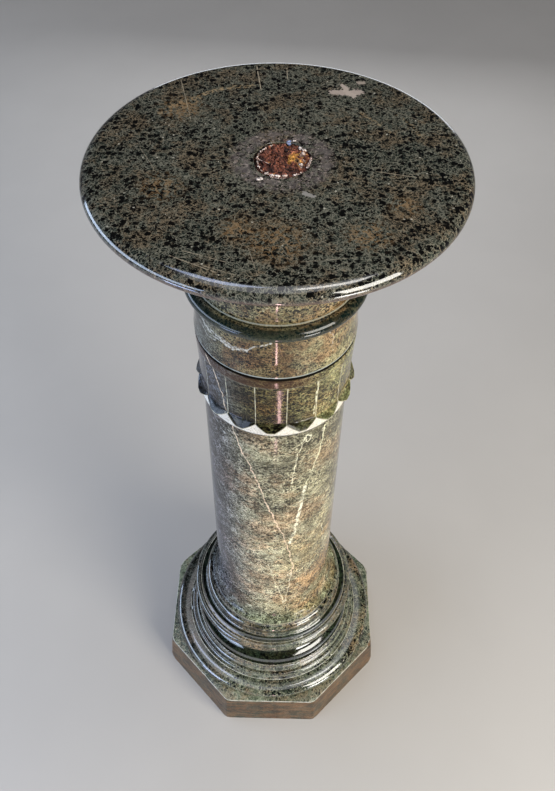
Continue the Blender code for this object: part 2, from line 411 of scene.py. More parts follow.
# crumbs of three shapes lie on the faces they are strewn over
def makeCrumbTree():
    numbers = ("Density", "Smallest", "Largest", "Tone Low", "Tone High")
    inputs = [("Crumbs", "Collection"), *((label, "Float") for label in numbers)]
    sheet, enter = newTree("strewnCrumbs", [*inputs, ("Seed", "Int"), ("Material", "Material")])
    seed = enter["Seed"]
    up = sheet.add("GeometryNodeInputNormal").parts()[2]
    ground = {"Mesh": enter["Geometry"], "Density": enter["Density"], "Seed": seed}
    ground["Selection"] = up.worked("GREATER_THAN", 0.3)
    spots = sheet.add("GeometryNodeDistributePointsOnFaces", ground, "Points")
    kinds = {"Collection": enter["Crumbs"], "Separate Children": True, "Reset Children": True}
    kinds = sheet.add("GeometryNodeCollectionInfo", kinds)

    def anything(low, high, shift):
        return sheet.add("FunctionNodeRandomValue", {2: low, 3: high, "Seed": seed + shift}, 1)

    turn = {0: (0.0, 0.0, 0.0), 1: (6.2, 6.2, 6.2), "Seed": seed + 3}
    turn = sheet.add("FunctionNodeRandomValue", turn, data_type="FLOAT_VECTOR")
    share = anything(0.0, 1.0, 5).worked("POWER", 2.5)
    size = share * (enter["Largest"] - enter["Smallest"]) + enter["Smallest"]
    strewn = {"Points": spots, "Instance": kinds, "Pick Instance": True, "Rotation": turn, "Scale": size}
    strewn = sheet.add("GeometryNodeInstanceOnPoints", strewn)
    tone = anything(enter["Tone Low"], enter["Tone High"], 7)
    toned = {"Geometry": strewn, "Name": "tone", "Value": tone}
    toned = sheet.add("GeometryNodeStoreNamedAttribute", toned, data_type="FLOAT", domain="INSTANCE")
    return finishTree(sheet, toned, enter["Material"])


def placed(name, data):
    item = bpy.data.objects.new(name, data)
    bpy.context.scene.collection.objects.link(item)
    return item


# runs a tree on a mesh and keeps the plain result under a new name
def grown(name, mesh, tree, values):
    seed = placed(name + "_seed", mesh)
    modifier = seed.modifiers.new(tree.name, "NODES")
    modifier.node_group = tree
    named = {item.name: item.identifier for item in tree.interface.items_tree if item.in_out == "INPUT"}
    for label, value in values.items():
        modifier[named[label]] = value
    seed.update_tag()
    bpy.context.view_layer.update()
    graph = bpy.context.evaluated_depsgraph_get()
    plain = bpy.data.meshes.new_from_object(seed.evaluated_get(graph), depsgraph=graph)
    bpy.data.objects.remove(seed)
    plain.name = name
    print(f"{name}: {len(plain.polygons)} faces")
    return placed(name, plain)


def setFloats(mesh, name, values):
    attribute = mesh.attributes.get(name) or mesh.attributes.new(name, "FLOAT", "POINT")
    attribute.data.foreach_set("value", np.asarray(values, np.float32))


# a turned piece grows from its outline, given from the top down
def turnedPiece(name, outline, values):
    ends = [(0.0, outline[0][1], 0.0), *outline, (0.0, outline[-1][1], 0.0)][::-1]
    mesh = bpy.data.meshes.new(name + "_outline")
    spots = [(radius, 0.0, height) for radius, height, wear in ends]
    mesh.from_pydata(spots, [(i, i + 1) for i in range(len(spots) - 1)], [])
    setFloats(mesh, "worn", [wear for radius, height, wear in ends])
    return grown(name, mesh, turningTree, values)


# what the trees take for a piece of stone: the values common to all of them, and its own
def stoneValues(stone, measures, marks):
    return {**wearValues, **measures["inputs"], "Material": serpentine(stone, measures["look"], marks)}


def turnedStone(name, stone, measures, outline, marks):
    fine = refined(softened(outline, measures["arris"]), measures["longest"])
    return turnedPiece(name, fine, stoneValues(stone, measures, marks))


# closed, its normals out, and sharp where it bends hard
def trueUp(piece, sharpAngle=38):
    bm = bmesh.new()
    bm.from_mesh(piece.data)
    bmesh.ops.dissolve_degenerate(bm, dist=1e-7, edges=bm.edges)
    bmesh.ops.recalc_face_normals(bm, faces=bm.faces)
    bm.to_mesh(piece.data)
    bm.free()
    piece.data.set_sharp_from_angle(angle=radians(sharpAngle))


def getPoints(mesh):
    co = np.empty(len(mesh.vertices) * 3, np.float32)
    mesh.vertices.foreach_get("co", co)
    return co.reshape(-1, 3).astype(float)


def setPoints(mesh, co):
    mesh.vertices.foreach_set("co", np.asarray(co, np.float32).ravel())
    mesh.update()


# scoops broken out of an edge: (place, reach, depth), pressed towards a point inside
def chipAway(mesh, chips, towards):
    co = getPoints(mesh)
    for place, reach, depth in chips:
        distance = np.sqrt(((co - np.array(place)) ** 2).sum(1))
        near = np.flatnonzero(distance < reach)
        rough = np.array([noise.noise(Vector(co[i]) * 400) for i in near])
        share = np.clip(1 - distance[near] / reach, 0, 1) ** 1.3
        inward = np.array(towards) - co[near]
        inward /= np.linalg.norm(inward, axis=1)[:, None]
        co[near] += inward * (share * depth * (1 + 0.5 * rough))[:, None]
    setPoints(mesh, co)


def dress(piece, node):
    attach(piece, "root")
    if node:
        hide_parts(node)


turningTree = makeTurningTree()
wedgeTree = makeWedgeTree()
crumbTree = makeCrumbTree()
gap = 0.0003  # between pieces that rest on one another
wearValues = {"Seed": 0.0, "Chip Size": 0.01, "Chip Depth": 0.0007, "Ripple": 0.00012}
print("trees built")


slabLow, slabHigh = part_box("top_slab")
slab = {
    "radius": slabHigh.x,
    "top": slabHigh.z,
    "foot": slabLow.z,
    "edgeDepth": 0.012,
    "socketRadius": 0.026,
    "socketDepth": 0.01,
    "socketPlace": (0.004, -0.0025),
    "dishReach": 0.062,  # the face is scraped a little hollow round the socket
    "dishDepth": 0.0005,
    "dishFade": 0.02,
    "mouthFade": 0.075,  # the socket's uneven round runs out into the face up to here
    "arris": 0.0007,
    "longest": 0.0025,  # the mesh has no longer step along its outline
    "inputs": {"Steps": 400, "Chip Size": 0.005, "Chip Depth": 0.0011, "Ripple": 0.00006},
    "look": {
        "stretch": (1.0, 1.0, 1.0), "ior": 1.8,
        "shade": (0.01, 0.015, 0.012), "light": (0.027, 0.032, 0.025), "driftScale": 14.0,
        "brown": (0.04, 0.028, 0.017), "brownScale": 24.0, "brownShare": 0.38,
        "mottleLow": 0.45, "mottleHigh": 1.9,
        "net": (0.4, 0.38, 0.29), "netBrown": (0.44, 0.335, 0.215), "netScale": 205.0,
        "netWidth": 0.075, "fibreWidth": 0.011, "netShare": 0.5, "netSparse": 0.36, "netPatchScale": 90.0,
        "speck": (0.0015, 0.0015, 0.0015), "speckScale": 185.0, "speckSparse": 0.86, "speckDark": 0.98,
        "dot": (0.62, 0.58, 0.47), "dotScale": 260.0, "arris": (0.16, 0.15, 0.11), "arrisShare": 0.4,
    },
    "smearTint": (0.12, 0.094, 0.084), "crustTint": (0.42, 0.34, 0.3),  # round the socket
    "veinTint": (0.5, 0.36, 0.2), "blotchTint": (0.34, 0.215, 0.105),
    "scratchTint": (0.52, 0.44, 0.32), "loopTint": (0.36, 0.31, 0.2),
    "rimReflectionTint": (0.15, 0.07, 0.04),
    # (chain of points, half-width, tint)
    "patches": (
        (((0.052, 0.108), (0.063, 0.107), (0.074, 0.109)), 0.0065, (0.46, 0.37, 0.31)),
        (((0.06, 0.12), (0.064, 0.11), (0.07, 0.101)), 0.0045, (0.5, 0.41, 0.34)),
        (((0.075, 0.126), (0.08, 0.127)), 0.0035, (0.36, 0.29, 0.23)),
        (((0.023, -0.049), (0.03, -0.053)), 0.0036, (0.3, 0.28, 0.25)),
    ),
    # (chain of points, half-width, strength)
    "veins": (
        (
            ((-0.101, 0.077), (-0.084, 0.088), (-0.068, 0.102), (-0.053, 0.112), (-0.026, 0.117)),
            0.0042, 0.75,
        ),
        (((-0.11, 0.066), (-0.094, 0.072), (-0.078, 0.086)), 0.003, 0.5),
        (((0.1, 0.041), (0.085, 0.062), (0.074, 0.075)), 0.0022, 0.55),
        (((0.108, 0.07), (0.122, 0.052), (0.128, 0.03)), 0.002, 0.45),
    ),
    # (place, reach), and so are the loops
    "blotches": (
        ((0.002, -0.112), 0.034), ((0.073, -0.102), 0.026), ((-0.096, -0.045), 0.026),
        ((-0.09, 0.075), 0.03), ((-0.03, -0.098), 0.02), ((0.105, -0.066), 0.018),
    ),
    "loops": (((0.088, 0.052), 0.0046), ((0.066, -0.06), 0.0034), ((0.126, 0.002), 0.003)),
    "scratches": (
        # both ends, half-width and strength
        ((-0.024, 0.156), (-0.018, 0.109), 0.0008, 0.9),
        ((0.006, 0.152), (0.007, 0.13), 0.0007, 0.7),
        ((-0.096, 0.126), (-0.08, 0.056), 0.0006, 0.6),
        ((0.084, -0.018), (0.117, -0.025), 0.0006, 0.6),
        ((-0.079, -0.13), (-0.042, -0.148), 0.0007, 0.7),
        ((-0.07, -0.124), (-0.036, -0.136), 0.0006, 0.6),
        ((-0.06, -0.138), (-0.028, -0.15), 0.0006, 0.55),
        ((-0.02, -0.12), (-0.012, -0.15), 0.0005, 0.5),
        ((0.02, -0.134), (0.062, -0.128), 0.0005, 0.5),
        ((0.04, 0.02), (0.062, 0.008), 0.0005, 0.45),
        ((0.09, 0.086), (0.132, 0.06), 0.0006, 0.5),
        ((-0.12, 0.01), (-0.104, -0.02), 0.0005, 0.45),
    ),
}


def socketOutline(a):
    uneven = 0.03 * cos(2 * a + 0.3) + 0.018 * cos(3 * a + 1.1) + 0.012 * cos(7 * a)
    return slab["socketRadius"] * (1 + uneven)


def slabMarks(place, colour):
    x, y, z = place.parts()
    flat = joined(x, y, 0.0)
    face = z.band(slab["top"] - 0.0035, slab["top"] - 0.0025)
    frayed = flat.warped(160.0, 0.008, 5.0)
    torn = place.noise(380.0, 5.0, 0.8)
    threads = abs(frayed.noise(110.0, 3.0, 0.6) - 0.5).band(0.045, 0.012)
    threads = (threads | torn.band(0.54, 0.6, 0.0, 0.7)) * face

    # smeared ring round the socket
    smear = frayed.distanceTo(*slab["socketPlace"]).between(0.026, 0.031, 0.04, 0.049) * face
    dull = smear * place.noise(130.0, 5.0, 0.8).band(0.43, 0.55, 0.06, 0.82)
    colour = colour.painted(dull * 0.75, slab["smearTint"])
    crust = place.noise(330.0, 4.0, 0.8).band(0.55, 0.61)
    colour = colour.painted(smear * crust * 0.8, slab["crustTint"])

    # pale lichen-like patches
    for chain, width, tint in slab["patches"]:
        edge = frayed.strokes(chain, width) + torn * 2.4
        spot = edge.band(1.4, 1.58) * face * frayed.strokes(chain, width * 1.5).band(0.0, 0.1)
        colour = colour.painted(spot * 0.92, tint)
        dull |= spot

    # brown veins and blotches, and small pale loops, as fine threads rather than bands
    for chain, width, share in slab["veins"]:
        vein = frayed.strokes(chain, width).band(0.0, 0.7)
        colour = colour.painted(vein * threads * share, slab["veinTint"])
    for spot, reach in slab["blotches"]:
        blotch = frayed.distanceTo(*spot).band(reach, reach * 0.2)
        colour = colour.painted(blotch * threads * 0.66, slab["blotchTint"])
    broken = place.noise(150.0).band(0.34, 0.5) * face
    for start, end, width, share in slab["scratches"]:
        line = flat.stroke(start, end, width).band(0.1, 0.8)
        colour = colour.painted(line * broken * share, slab["scratchTint"])
    for spot, reach in slab["loops"]:
        loop = frayed.distanceTo(*spot) / reach
        loop = loop.between(0.62, 0.85, 0.9, 1.15)
        colour = colour.painted(loop * threads * 0.75, slab["loopTint"])

    # the lower half of the rim runs to a redder brown, a painted reflection of the floor
    lower = z.band(slab["foot"] + 0.011, slab["foot"] + 0.005)
    return colour.painted(lower * 0.55, slab["rimReflectionTint"]), dull


def makeTopSlab():
    top, socket = slab["top"], slab["socketRadius"]
    floor = top - slab["socketDepth"]
    half = (top - slab["foot"]) / 2
    rim = arc((slab["radius"] - slab["edgeDepth"], top - half), (slab["edgeDepth"], half), 90, -90, 28)
    inner = [(socket, floor, 0.0), (socket, top - 0.0012, 0.0), (socket, top, 1.0)]
    inner.append((socket + 0.02, top, 0.0))
    piece = turnedStone("slab_polished", "slabStone", slab, inner + rim, slabMarks)

    # the socket sits off the axis and its mouth is uneven
    co = getPoints(piece.data)
    radius = np.hypot(co[:, 0], co[:, 1])
    angle = np.arctan2(co[:, 0], -co[:, 1])
    fade = slab["mouthFade"]
    hold = np.clip((fade - radius) / (fade - socket), 0, 1) * (co[:, 2] > floor - 0.001)
    uneven = np.array([socketOutline(a) for a in angle]) / socket - 1
    for axis in (0, 1):
        co[:, axis] = co[:, axis] * (1 + uneven * hold) + slab["socketPlace"][axis] * hold
    dish = np.clip((slab["dishReach"] - radius) / slab["dishFade"], 0, 1)
    dish = dish * dish * (3 - 2 * dish) * (co[:, 2] > top - 0.0015)
    co[:, 2] -= slab["dishDepth"] * dish
    setPoints(piece.data, co)
    trueUp(piece)
    dress(piece, "top_slab")


filling = {
    "below": 0.002,  # the crust lies this far under the slab's face
    "lumps": 0.0027,
    "clearance": 0.0004,
    "rimSink": 0.0012,  # how much deeper the crust lies at the wall
    "leftSink": 0.005,  # and on the left
    "ceiling": 0.0006,  # it stays this far under the face
    "rings": 48,
    "steps": 170,
    "crumbDensity": 150000.0,
    "crumbShapes": (("crumbA", 1.0, (1, 0.8, 0.7)), ("crumbB", 7.0, (1.2, 0.7, 0.5)),
                    ("crumbC", 13.0, (1.5, 0.9, 0.35))),  # name, seed and stretch
    "rustTint": (0.25, 0.085, 0.03),
    "glassTints": ((0.11, 0.17, 0.42), (0.5, 0.56, 0.72)),
    # the tone of a place, and the tint it stands for
    "tints": (
        (0.0, (0.02, 0.011, 0.01)), (0.22, (0.105, 0.03, 0.018)), (0.45, (0.3, 0.102, 0.058)),
        (0.6, (0.72, 0.37, 0.07)), (0.72, (0.06, 0.045, 0.065)), (0.84, (0.48, 0.31, 0.25)),
        (1.0, (0.86, 0.76, 0.7)),
    ),
    "mortarSteps": 220,
    "mortarDensity": 1100000.0,
    "mortarOnLeft": (0.0032, 0.00045, 0.0013),  # off the wall, half a size, under the face
    # (place, reach, tone) of each patch of its own colour
    "patches": (
        ((0.0125, 0.001), 0.0048, 0.6), ((0.0145, 0.0065), 0.0032, 0.58),
        ((0.01, -0.004), 0.0032, 0.62), ((0.017, -0.0035), 0.0036, 0.72),
        ((0.0215, 0.008), 0.0036, 0.9), ((0.02, -0.0085), 0.0032, 0.95),
        ((0.0225, -0.001), 0.0024, 0.88), ((-0.0145, -0.0008), 0.0042, 0.02),
        ((-0.0006, 0.0029), 0.0026, 0.04), ((0.0141, -0.0176), 0.0046, 0.05),
        ((-0.006, -0.015), 0.004, 0.08), ((-0.012, 0.009), 0.005, 0.44), ((0.001, 0.013), 0.005, 0.42),
        ((-0.003, -0.004), 0.0036, 0.4), ((0.004, -0.014), 0.003, 0.44),
    ),
    "splinter": ((-0.0176, -0.0018), (-0.0044, -0.0104)),
    # (place, size, turn, how flat, tone), a tone below 0 is glass
    "fragments": (
        ((-0.014, -0.0308), 0.0034, 0.15, 0.16, 1.0),
        ((0.0098, 0.025), 0.0046, 0.4, 0.3, -1.0), ((0.006, 0.0268), 0.0028, 1.3, 0.3, 0.7),
        ((0.0142, 0.0262), 0.0019, 0.2, 0.5, 1.0), ((0.0196, 0.016), 0.0026, 2.2, 0.45, 1.0),
        ((0.0228, 0.0132), 0.0022, 2.6, 0.45, 0.98), ((-0.0044, -0.0246), 0.0028, 0.1, 0.4, 0.98),
        ((0.0006, -0.0256), 0.0022, 0.0, 0.4, 1.0), ((0.0062, -0.025), 0.0027, 0.2, 0.4, 0.9),
        ((-0.0092, -0.0224), 0.0018, 0.6, 0.4, 0.95), ((0.015, -0.0242), 0.002, -0.4, 0.4, 0.94),
        ((0.0282, -0.003), 0.0018, 1.5, 0.4, 1.0), ((0.0202, -0.008), 0.0021, 0.8, 0.6, 1.0),
        ((0.0218, 0.0088), 0.0022, 1.7, 0.6, 0.92),
    ),
}


def rustMaterial():
    material, sheet, shader, place = newMaterial("rustCrust")
    ramp = sheet.add("ShaderNodeValToRGB", {0: place.attribute("tone")})
    stops = ramp.socket.node.color_ramp.elements
    for step, (spot, tint) in enumerate(filling["tints"]):
        stop = stops[step] if step < 2 else stops.new(spot)
        stop.position = spot
        stop.color = (*tint, 1.0)
    colour = ramp.tinted(place.noise(620.0, 5.0, 0.75).band(0.38, 0.62, 0.15, 1.75).grey())
    rust = place.noise(260.0, 4.0, 0.7).band(0.54, 0.66, 0.0, 0.35)
    sheet.feed(shader["Base Color"], colour.painted(rust, filling["rustTint"]))
    sheet.feed(shader["Roughness"], 0.82)
    sheet.feed(shader["Normal"], bump(place.noise(1500.0, 4.0, 0.7), 0.8, 0.0004))
    return material


def glassMaterial():
    material, sheet, shader, place = newMaterial("blueGlass")
    clouds = place.noise(700.0, 3.0, 0.6).band(0.4, 0.6)
    sheet.feed(shader["Base Color"], clouds.choice(*filling["glassTints"]))
    sheet.feed(shader["Roughness"], 0.12)
    return material


def crustHeight(x, y):
    spot = Vector((x, y, 0.0))
    lump = 0.9 * noise.noise(spot * 190) + 0.8 * noise.noise(spot * 420) + 0.4 * noise.noise(spot * 1000)
    return slab["top"] - filling["below"] + filling["lumps"] * lump


# the tone at a place: the patches pull it towards their own
def patched(tones, co):
    for (x, y), reach, tone in filling["patches"]:
        near = ((co[:, 0] - x) ** 2 + (co[:, 1] - y) ** 2) / reach**2
        share = 0.92 * np.clip(1.35 - near, 0, 1)
        tones = tones * (1 - share) + tone * share
    return tones


def meshFrom(name, bm, tone=None):
    mesh = bpy.data.meshes.new(name)
    bm.to_mesh(mesh)
    bm.free()
    if tone is not None:
        setFloats(mesh, "tone", [tone] * len(mesh.vertices))
    return mesh


# a ball pushed out of shape by roughness(place) and then stretched
def lumpyStone(divisions, roughness, stretch):
    bm = bmesh.new()
    bmesh.ops.create_icosphere(bm, subdivisions=divisions, radius=1.0)
    for vert in bm.verts:
        vert.co = vert.co * (1 + roughness(vert.co)) * Vector(stretch)
    return bm


def makeSplinter():
    start, end = (Vector((*spot, slab["top"] - 0.0009)) for spot in filling["splinter"])
    bm = bmesh.new()
    bmesh.ops.create_cone(bm, cap_ends=True, segments=8, radius1=0.0005, radius2=0.0003, depth=1.0)
    bmesh.ops.scale(bm, vec=(1.0, 1.0, (end - start).length), verts=bm.verts)
    turn = (end - start).to_track_quat("Z", "Y").to_matrix().to_4x4()
    bmesh.ops.transform(bm, matrix=Matrix.Translation((start + end) / 2) @ turn, verts=bm.verts)
    return meshFrom("splinter", bm, 0.86)


def makeFragment(number, place, size, turn, flat, tone):
    seed = Vector((number * 3.1, 0.0, 0.0))
    bm = lumpyStone(1, lambda co: 0.55 * noise.noise(co * 1.7 + seed), (1.0, 1.0, flat))
    height = max(vert.co.z for vert in bm.verts) * size
    sit = Matrix.Translation((*place, slab["top"] - 0.00008 - height))
    shape = sit @ Matrix.Rotation(turn, 4, "Z") @ Matrix.Diagonal((size, size * 0.7, size, 1.0))
    bmesh.ops.transform(bm, matrix=shape, verts=bm.verts)
    return meshFrom("fragment", bm, max(tone, 0.0))


def makeLoose(material):
    glass = glassMaterial()
    loose = []
    for number, fragment in enumerate(filling["fragments"]):
        stuff = glass if fragment[-1] < 0 else material
        loose.append((f"fragment_{number:02d}", makeFragment(number, *fragment), stuff))
    loose.append(("splinter", makeSplinter(), material))
    for name, mesh, stuff in loose:
        mesh.materials.append(stuff)
        dress(placed(name, mesh), None)


# rings of points out to the mouth's wall, then down to the floor and closed
def crustMesh():
    rings, steps = filling["rings"], filling["steps"]
    cx, cy = slab["socketPlace"]
    floor = slab["top"] - slab["socketDepth"] + gap
    angles = [2 * pi * step / steps for step in range(steps)]
    verts = [(cx, cy, crustHeight(cx, cy))]
    wallShadow = []
    for ring in range(1, rings + 1):
        share = ring / rings
        for a in angles:
            radius = (socketOutline(a) - filling["clearance"]) * share
            x, y = cx + radius * sin(a), cy - radius * cos(a)
            sunk = filling["rimSink"] * share**6
            sunk += filling["leftSink"] * max(0.0, -sin(a)) * share**9
            verts.append((x, y, min(crustHeight(x, y) - sunk, slab["top"] - filling["ceiling"])))
            wallShadow.append(share > 0.9 and sin(a) < -0.25)  # painted shadow: black along the wall on the left
    verts += [(x, y, floor) for x, y, z in verts[-steps:]]
    verts.append((cx, cy, floor))
    last = 1 + rings * steps
    pairs = [(i, (i + 1) % steps) for i in range(steps)]
    faces = [(0, 1 + j, 1 + i) for i, j in pairs]
    for r in range(1, last, steps):
        faces += [(r + i, r + j, r + steps + j, r + steps + i) for i, j in pairs]
    faces += [(last + i, last + j, len(verts) - 1) for i, j in pairs]
    mesh = bpy.data.meshes.new("filling_crust")
    mesh.from_pydata(verts, [], faces)
    tones = np.array([0.12 + 0.36 * (0.5 + noise.noise(Vector(v) * 260)) for v in verts])
    tones = patched(tones, np.array(verts))
    tones[1:last][np.array(wallShadow)] = 0.0
    setFloats(mesh, "tone", tones)
    mesh.shade_smooth()
    return mesh


# where mortar was left round the mouth: along the front, and set off the wall on the left
def mouthMesh():
    lip = bmesh.new()
    cx, cy = slab["socketPlace"]
    for step in range(filling["mortarSteps"]):
        a = 2 * pi * step / filling["mortarSteps"]
        thick = 0.5 + noise.noise(Vector((3 * cos(a), 3 * sin(a), 0.7)))
        onLeft = sin(a) < -0.35
        if (thick < 0.35 and not onLeft) or (cos(a) < -0.2 and sin(a) > -0.1):
            continue
        inset, size, down = 0.0006 + 0.0012 * thick, 0.0004 + 0.001 * thick, 0.0016
        if onLeft:
            inset, size, down = filling["mortarOnLeft"]
        radius = socketOutline(a) - inset
        x, y = cx + radius * sin(a), cy - radius * cos(a)
        square = ((-1, -1), (1, -1), (1, 1), (-1, 1))
        corners = [(x + i * size, y + j * size, slab["top"] - down) for i, j in square]
        lip.faces.new([lip.verts.new(corner) for corner in corners])
    return meshFrom("lip", lip)


# crumbs strewn on a mesh, none of them higher than the slab's face
def strewn(name, mesh, values):
    crumbs = grown(name, mesh, crumbTree, values)
    co = getPoints(crumbs.data)
    co[:, 2] = np.minimum(co[:, 2], slab["top"] - 0.00002)
    setPoints(crumbs.data, co)
    dress(crumbs, None)
    return crumbs.data, co


def makeFilling():
    material = rustMaterial()
    mesh = crustMesh()
    mesh.materials.append(material)
    crust = placed("filling_crust", mesh)
    trueUp(crust, 180)
    dress(crust, "socket_filling")

    kinds = bpy.data.collections.new("crumbKinds")
    for name, number, stretch in filling["crumbShapes"]:
        seed = Vector((number, 0, 0))
        rough = lambda co, seed=seed: 0.45 * (noise.noise(co * 1.3 + seed) + 0.4 * noise.noise(co * 3.1))
        kinds.objects.link(bpy.data.objects.new(name, meshFrom(name, lumpyStone(2, rough, stretch))))
    values = {
        "Crumbs": kinds, "Density": filling["crumbDensity"], "Smallest": 0.0003, "Largest": 0.0026,
        "Tone Low": 0.02, "Tone High": 0.46, "Seed": 4, "Material": material,
    }
    crumbs, co = strewn("filling_crumbs", mesh.copy(), values)
    tones = np.empty(len(co), np.float32)
    crumbs.attributes["tone"].data.foreach_get("value", tones)
    setFloats(crumbs, "tone", patched(tones, co))
    values.update({"Density": filling["mortarDensity"], "Largest": 0.0012})
    values.update({"Tone Low": 0.8, "Tone High": 1.0, "Seed": 9})
    strewn("mortar_crumbs", mouthMesh(), values)
    makeLoose(material)


makeTopSlab()
makeFilling()
print("top done")


capitalLow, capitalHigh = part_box("capital")
capital = {
    "top": capitalHigh.z,
    "topRadius": capitalHigh.x,
    "foot": capitalLow.z,
    "filletHeight": 0.0062,
    "ovoloHeight": 0.013,
    "ovoloReach": 0.012,
    "ovoloGap": 0.002,
    "neckRadius": 0.0837,
    "neckFoot": 0.8832,
    "neckHeight": 0.017,  # its plain part, under the flare
    "ringOut": 0.003,  # how far the ring's centre stands out from the neck
    "ringReach": 0.0075,
    "drumRadius": 0.0854,
    "drumLip": 0.0017,
    "lipHeight": 0.02,
    "lipCurve": ((0.1, 0.0), (0.6, 0.011), (1.0, 0.0165)),  # share of the lip, and how far down
    "arris": 0.0006,
    "longest": 0.003,
    "inputs": {"Steps": 400, "Seed": 3.0, "Chip Depth": 0.0005},
    "look": {
        "ior": 1.46,
        "shade": (0.02, 0.019, 0.013), "light": (0.105, 0.094, 0.052), "driftScale": 13.0,
        "brown": (0.105, 0.058, 0.029), "brownScale": 13.0, "brownShare": 0.6,
        "mottleScale": 380.0, "mottleLow": 0.25, "mottleHigh": 2.2,
        "net": (0.52, 0.47, 0.29), "netBrown": (0.47, 0.32, 0.18), "netScale": 230.0,
        "fibreWidth": 0.018, "netShare": 0.72, "netPatchScale": 40.0,
        "speckScale": 270.0, "speckSparse": 0.5, "speckDark": 0.95,
        "dot": (0.52, 0.48, 0.34), "dotScale": 240.0, "dotShare": 0.07,
        "arris": (0.5, 0.52, 0.44), "warpScale": 140.0,
    },
    "middleTint": (0.66, 0.52, 0.41), "leftShadeTint": (1.5, 1.8, 2.3),  # these two multiply
    "ringTint": (0.004, 0.014, 0.012), "creaseHighlightTint": (0.5, 0.5, 0.4), "rustTint": (0.4, 0.2, 0.15),
    "lipHighlightTint": (0.42, 0.48, 0.46), "veinTint": (0.62, 0.6, 0.52),
    "veins": (
        # (azimuth, height) along each vein, its half-width and strength
        (
            ((-66, 0.862), (-57, 0.8535), (-48, 0.846), (-37.5, 0.8455), (-28, 0.8425), (-19, 0.8475)),
            0.0027, 0.95,
        ),
        (
            ((-50, 0.852), (-37.5, 0.849), (-28, 0.846), (-19, 0.849), (-10, 0.856), (-2, 0.862)),
            0.0018, 0.85,
        ),
        (((-60, 0.846), (-52, 0.838), (-44, 0.8395)), 0.0016, 0.6),
        (((38, 0.862), (42, 0.85), (41, 0.838)), 0.0007, 0.55),
    ),
}


def capitalMarks(place, colour):
    x, y, height = place.parts()
    side, radius = sideOf(place)
    above = capital["neckFoot"] - 0.0005
    below = capital["neckFoot"] - 2 * capital["ringReach"]
    drum = height.band(below + 0.0004, below - 0.0004)

    # browner in the middle; lighter and olive to the right, a painted light; bluer and darker to the left, a
    # painted shade
    middle = side.between(-0.8, -0.35, 0.04, 0.38) * drum * (-y / radius).band(-0.4, 0.4, 0.4, 1.0)
    colour = colour.tinted(capital["middleTint"], middle * 0.75)
    right = side.band(0.14, 0.64, 1.0, 1.45)
    colour = colour.tinted(joined(right, right, right * 0.9))
    colour = colour.painted(side.band(-0.5, -0.87, 0.0, 0.8), shadedStone(colour, capital["leftShadeTint"]))

    # the ring is a darker, bluer green than the neck and the drum
    ring = height.between(below - 0.0004, below + 0.0006, above, above + 0.0006)
    colour = colour.painted(ring * 0.94, colour.painted(0.9, capital["ringTint"]))

    # a pale painted highlight in the crease above the ring, rust under it, and a pale painted highlight
    # along the lip over the joint
    creaseHighlight = height.between(above + 0.0008, above + 0.0014, above + 0.0026, above + 0.0034)
    colour = colour.painted(creaseHighlight * 0.65, capital["creaseHighlightTint"])
    rust = height.between(below - 0.002, below - 0.0014, below - 0.0006, below)
    colour = colour.painted(rust * 0.65, capital["rustTint"])
    edge = height.band(capital["foot"] + 0.0022, capital["foot"] + 0.0014)
    edge *= radius.band(capital["drumRadius"] + 0.0006, capital["drumRadius"] + 0.0012)
    colour = colour.painted(edge * 0.7, capital["lipHighlightTint"])

    # white veins cross the left of the drum
    wall = unrolled(place.warped(120.0, 0.01, 5.0), capital["drumRadius"])
    broken = place.noise(330.0, 4.0, 0.75).band(0.42, 0.54) * drum
    for chain, width, share in capital["veins"]:
        vein = wall.strokes(laidFlat(chain, capital["drumRadius"]), width).band(0.05, 0.7)
        colour = colour.painted(vein * broken * share, capital["veinTint"])
    return colour, 0.0


def makeCapital():
    top, topRadius, neckRadius = capital["top"], capital["topRadius"], capital["neckRadius"]
    filletFoot = top - capital["filletHeight"]
    cavettoTop = filletFoot - capital["ovoloHeight"] - capital["ovoloGap"]
    cavettoFoot = capital["neckFoot"] + capital["neckHeight"]
    cavettoRadius = topRadius - capital["ovoloReach"]
    ringCentre = (neckRadius + capital["ringOut"], capital["neckFoot"] - capital["ringReach"])
    drumTop = capital["neckFoot"] - 2 * capital["ringReach"]
    spread = capital["foot"] - gap + capital["lipHeight"]
    drum, lip = capital["drumRadius"], capital["drumLip"]

    outline = [(0.06, top, 0.0), (topRadius, top, 1.0), (topRadius, filletFoot, 1.0)]
    outline += [(topRadius - 0.0015, filletFoot, 0.0)]
    ovolo = (capital["ovoloReach"] - 0.0015, capital["ovoloHeight"])
    outline += arc((cavettoRadius, filletFoot), ovolo, -4, -90, 14)
    outline += [(cavettoRadius, cavettoTop, 0.8)]
    cavetto = (neckRadius - cavettoRadius, cavettoTop - cavettoFoot)
    outline += arc((cavettoRadius, cavettoFoot), cavetto, 86, 0, 22)
    outline += [(neckRadius, capital["neckFoot"] + 0.0012, 0.6)]
    outline += circleArc(ringCentre, capital["ringReach"], 112, -84, 26)
    outline += [(drum - 0.0003, drumTop - 0.0006, 0.5), (drum, drumTop - 0.0014, 0.0)]
    outline += [(drum + share * lip, spread - down, 0.0) for share, down in capital["lipCurve"]]
    outline += [(drum + lip, capital["foot"], 1.0), (drum - 0.012, capital["foot"], 0.0)]
    piece = turnedStone("capital_polished", "capitalStone", capital, outline, capitalMarks)
    trueUp(piece)
    dress(piece, "capital")


makeCapital()


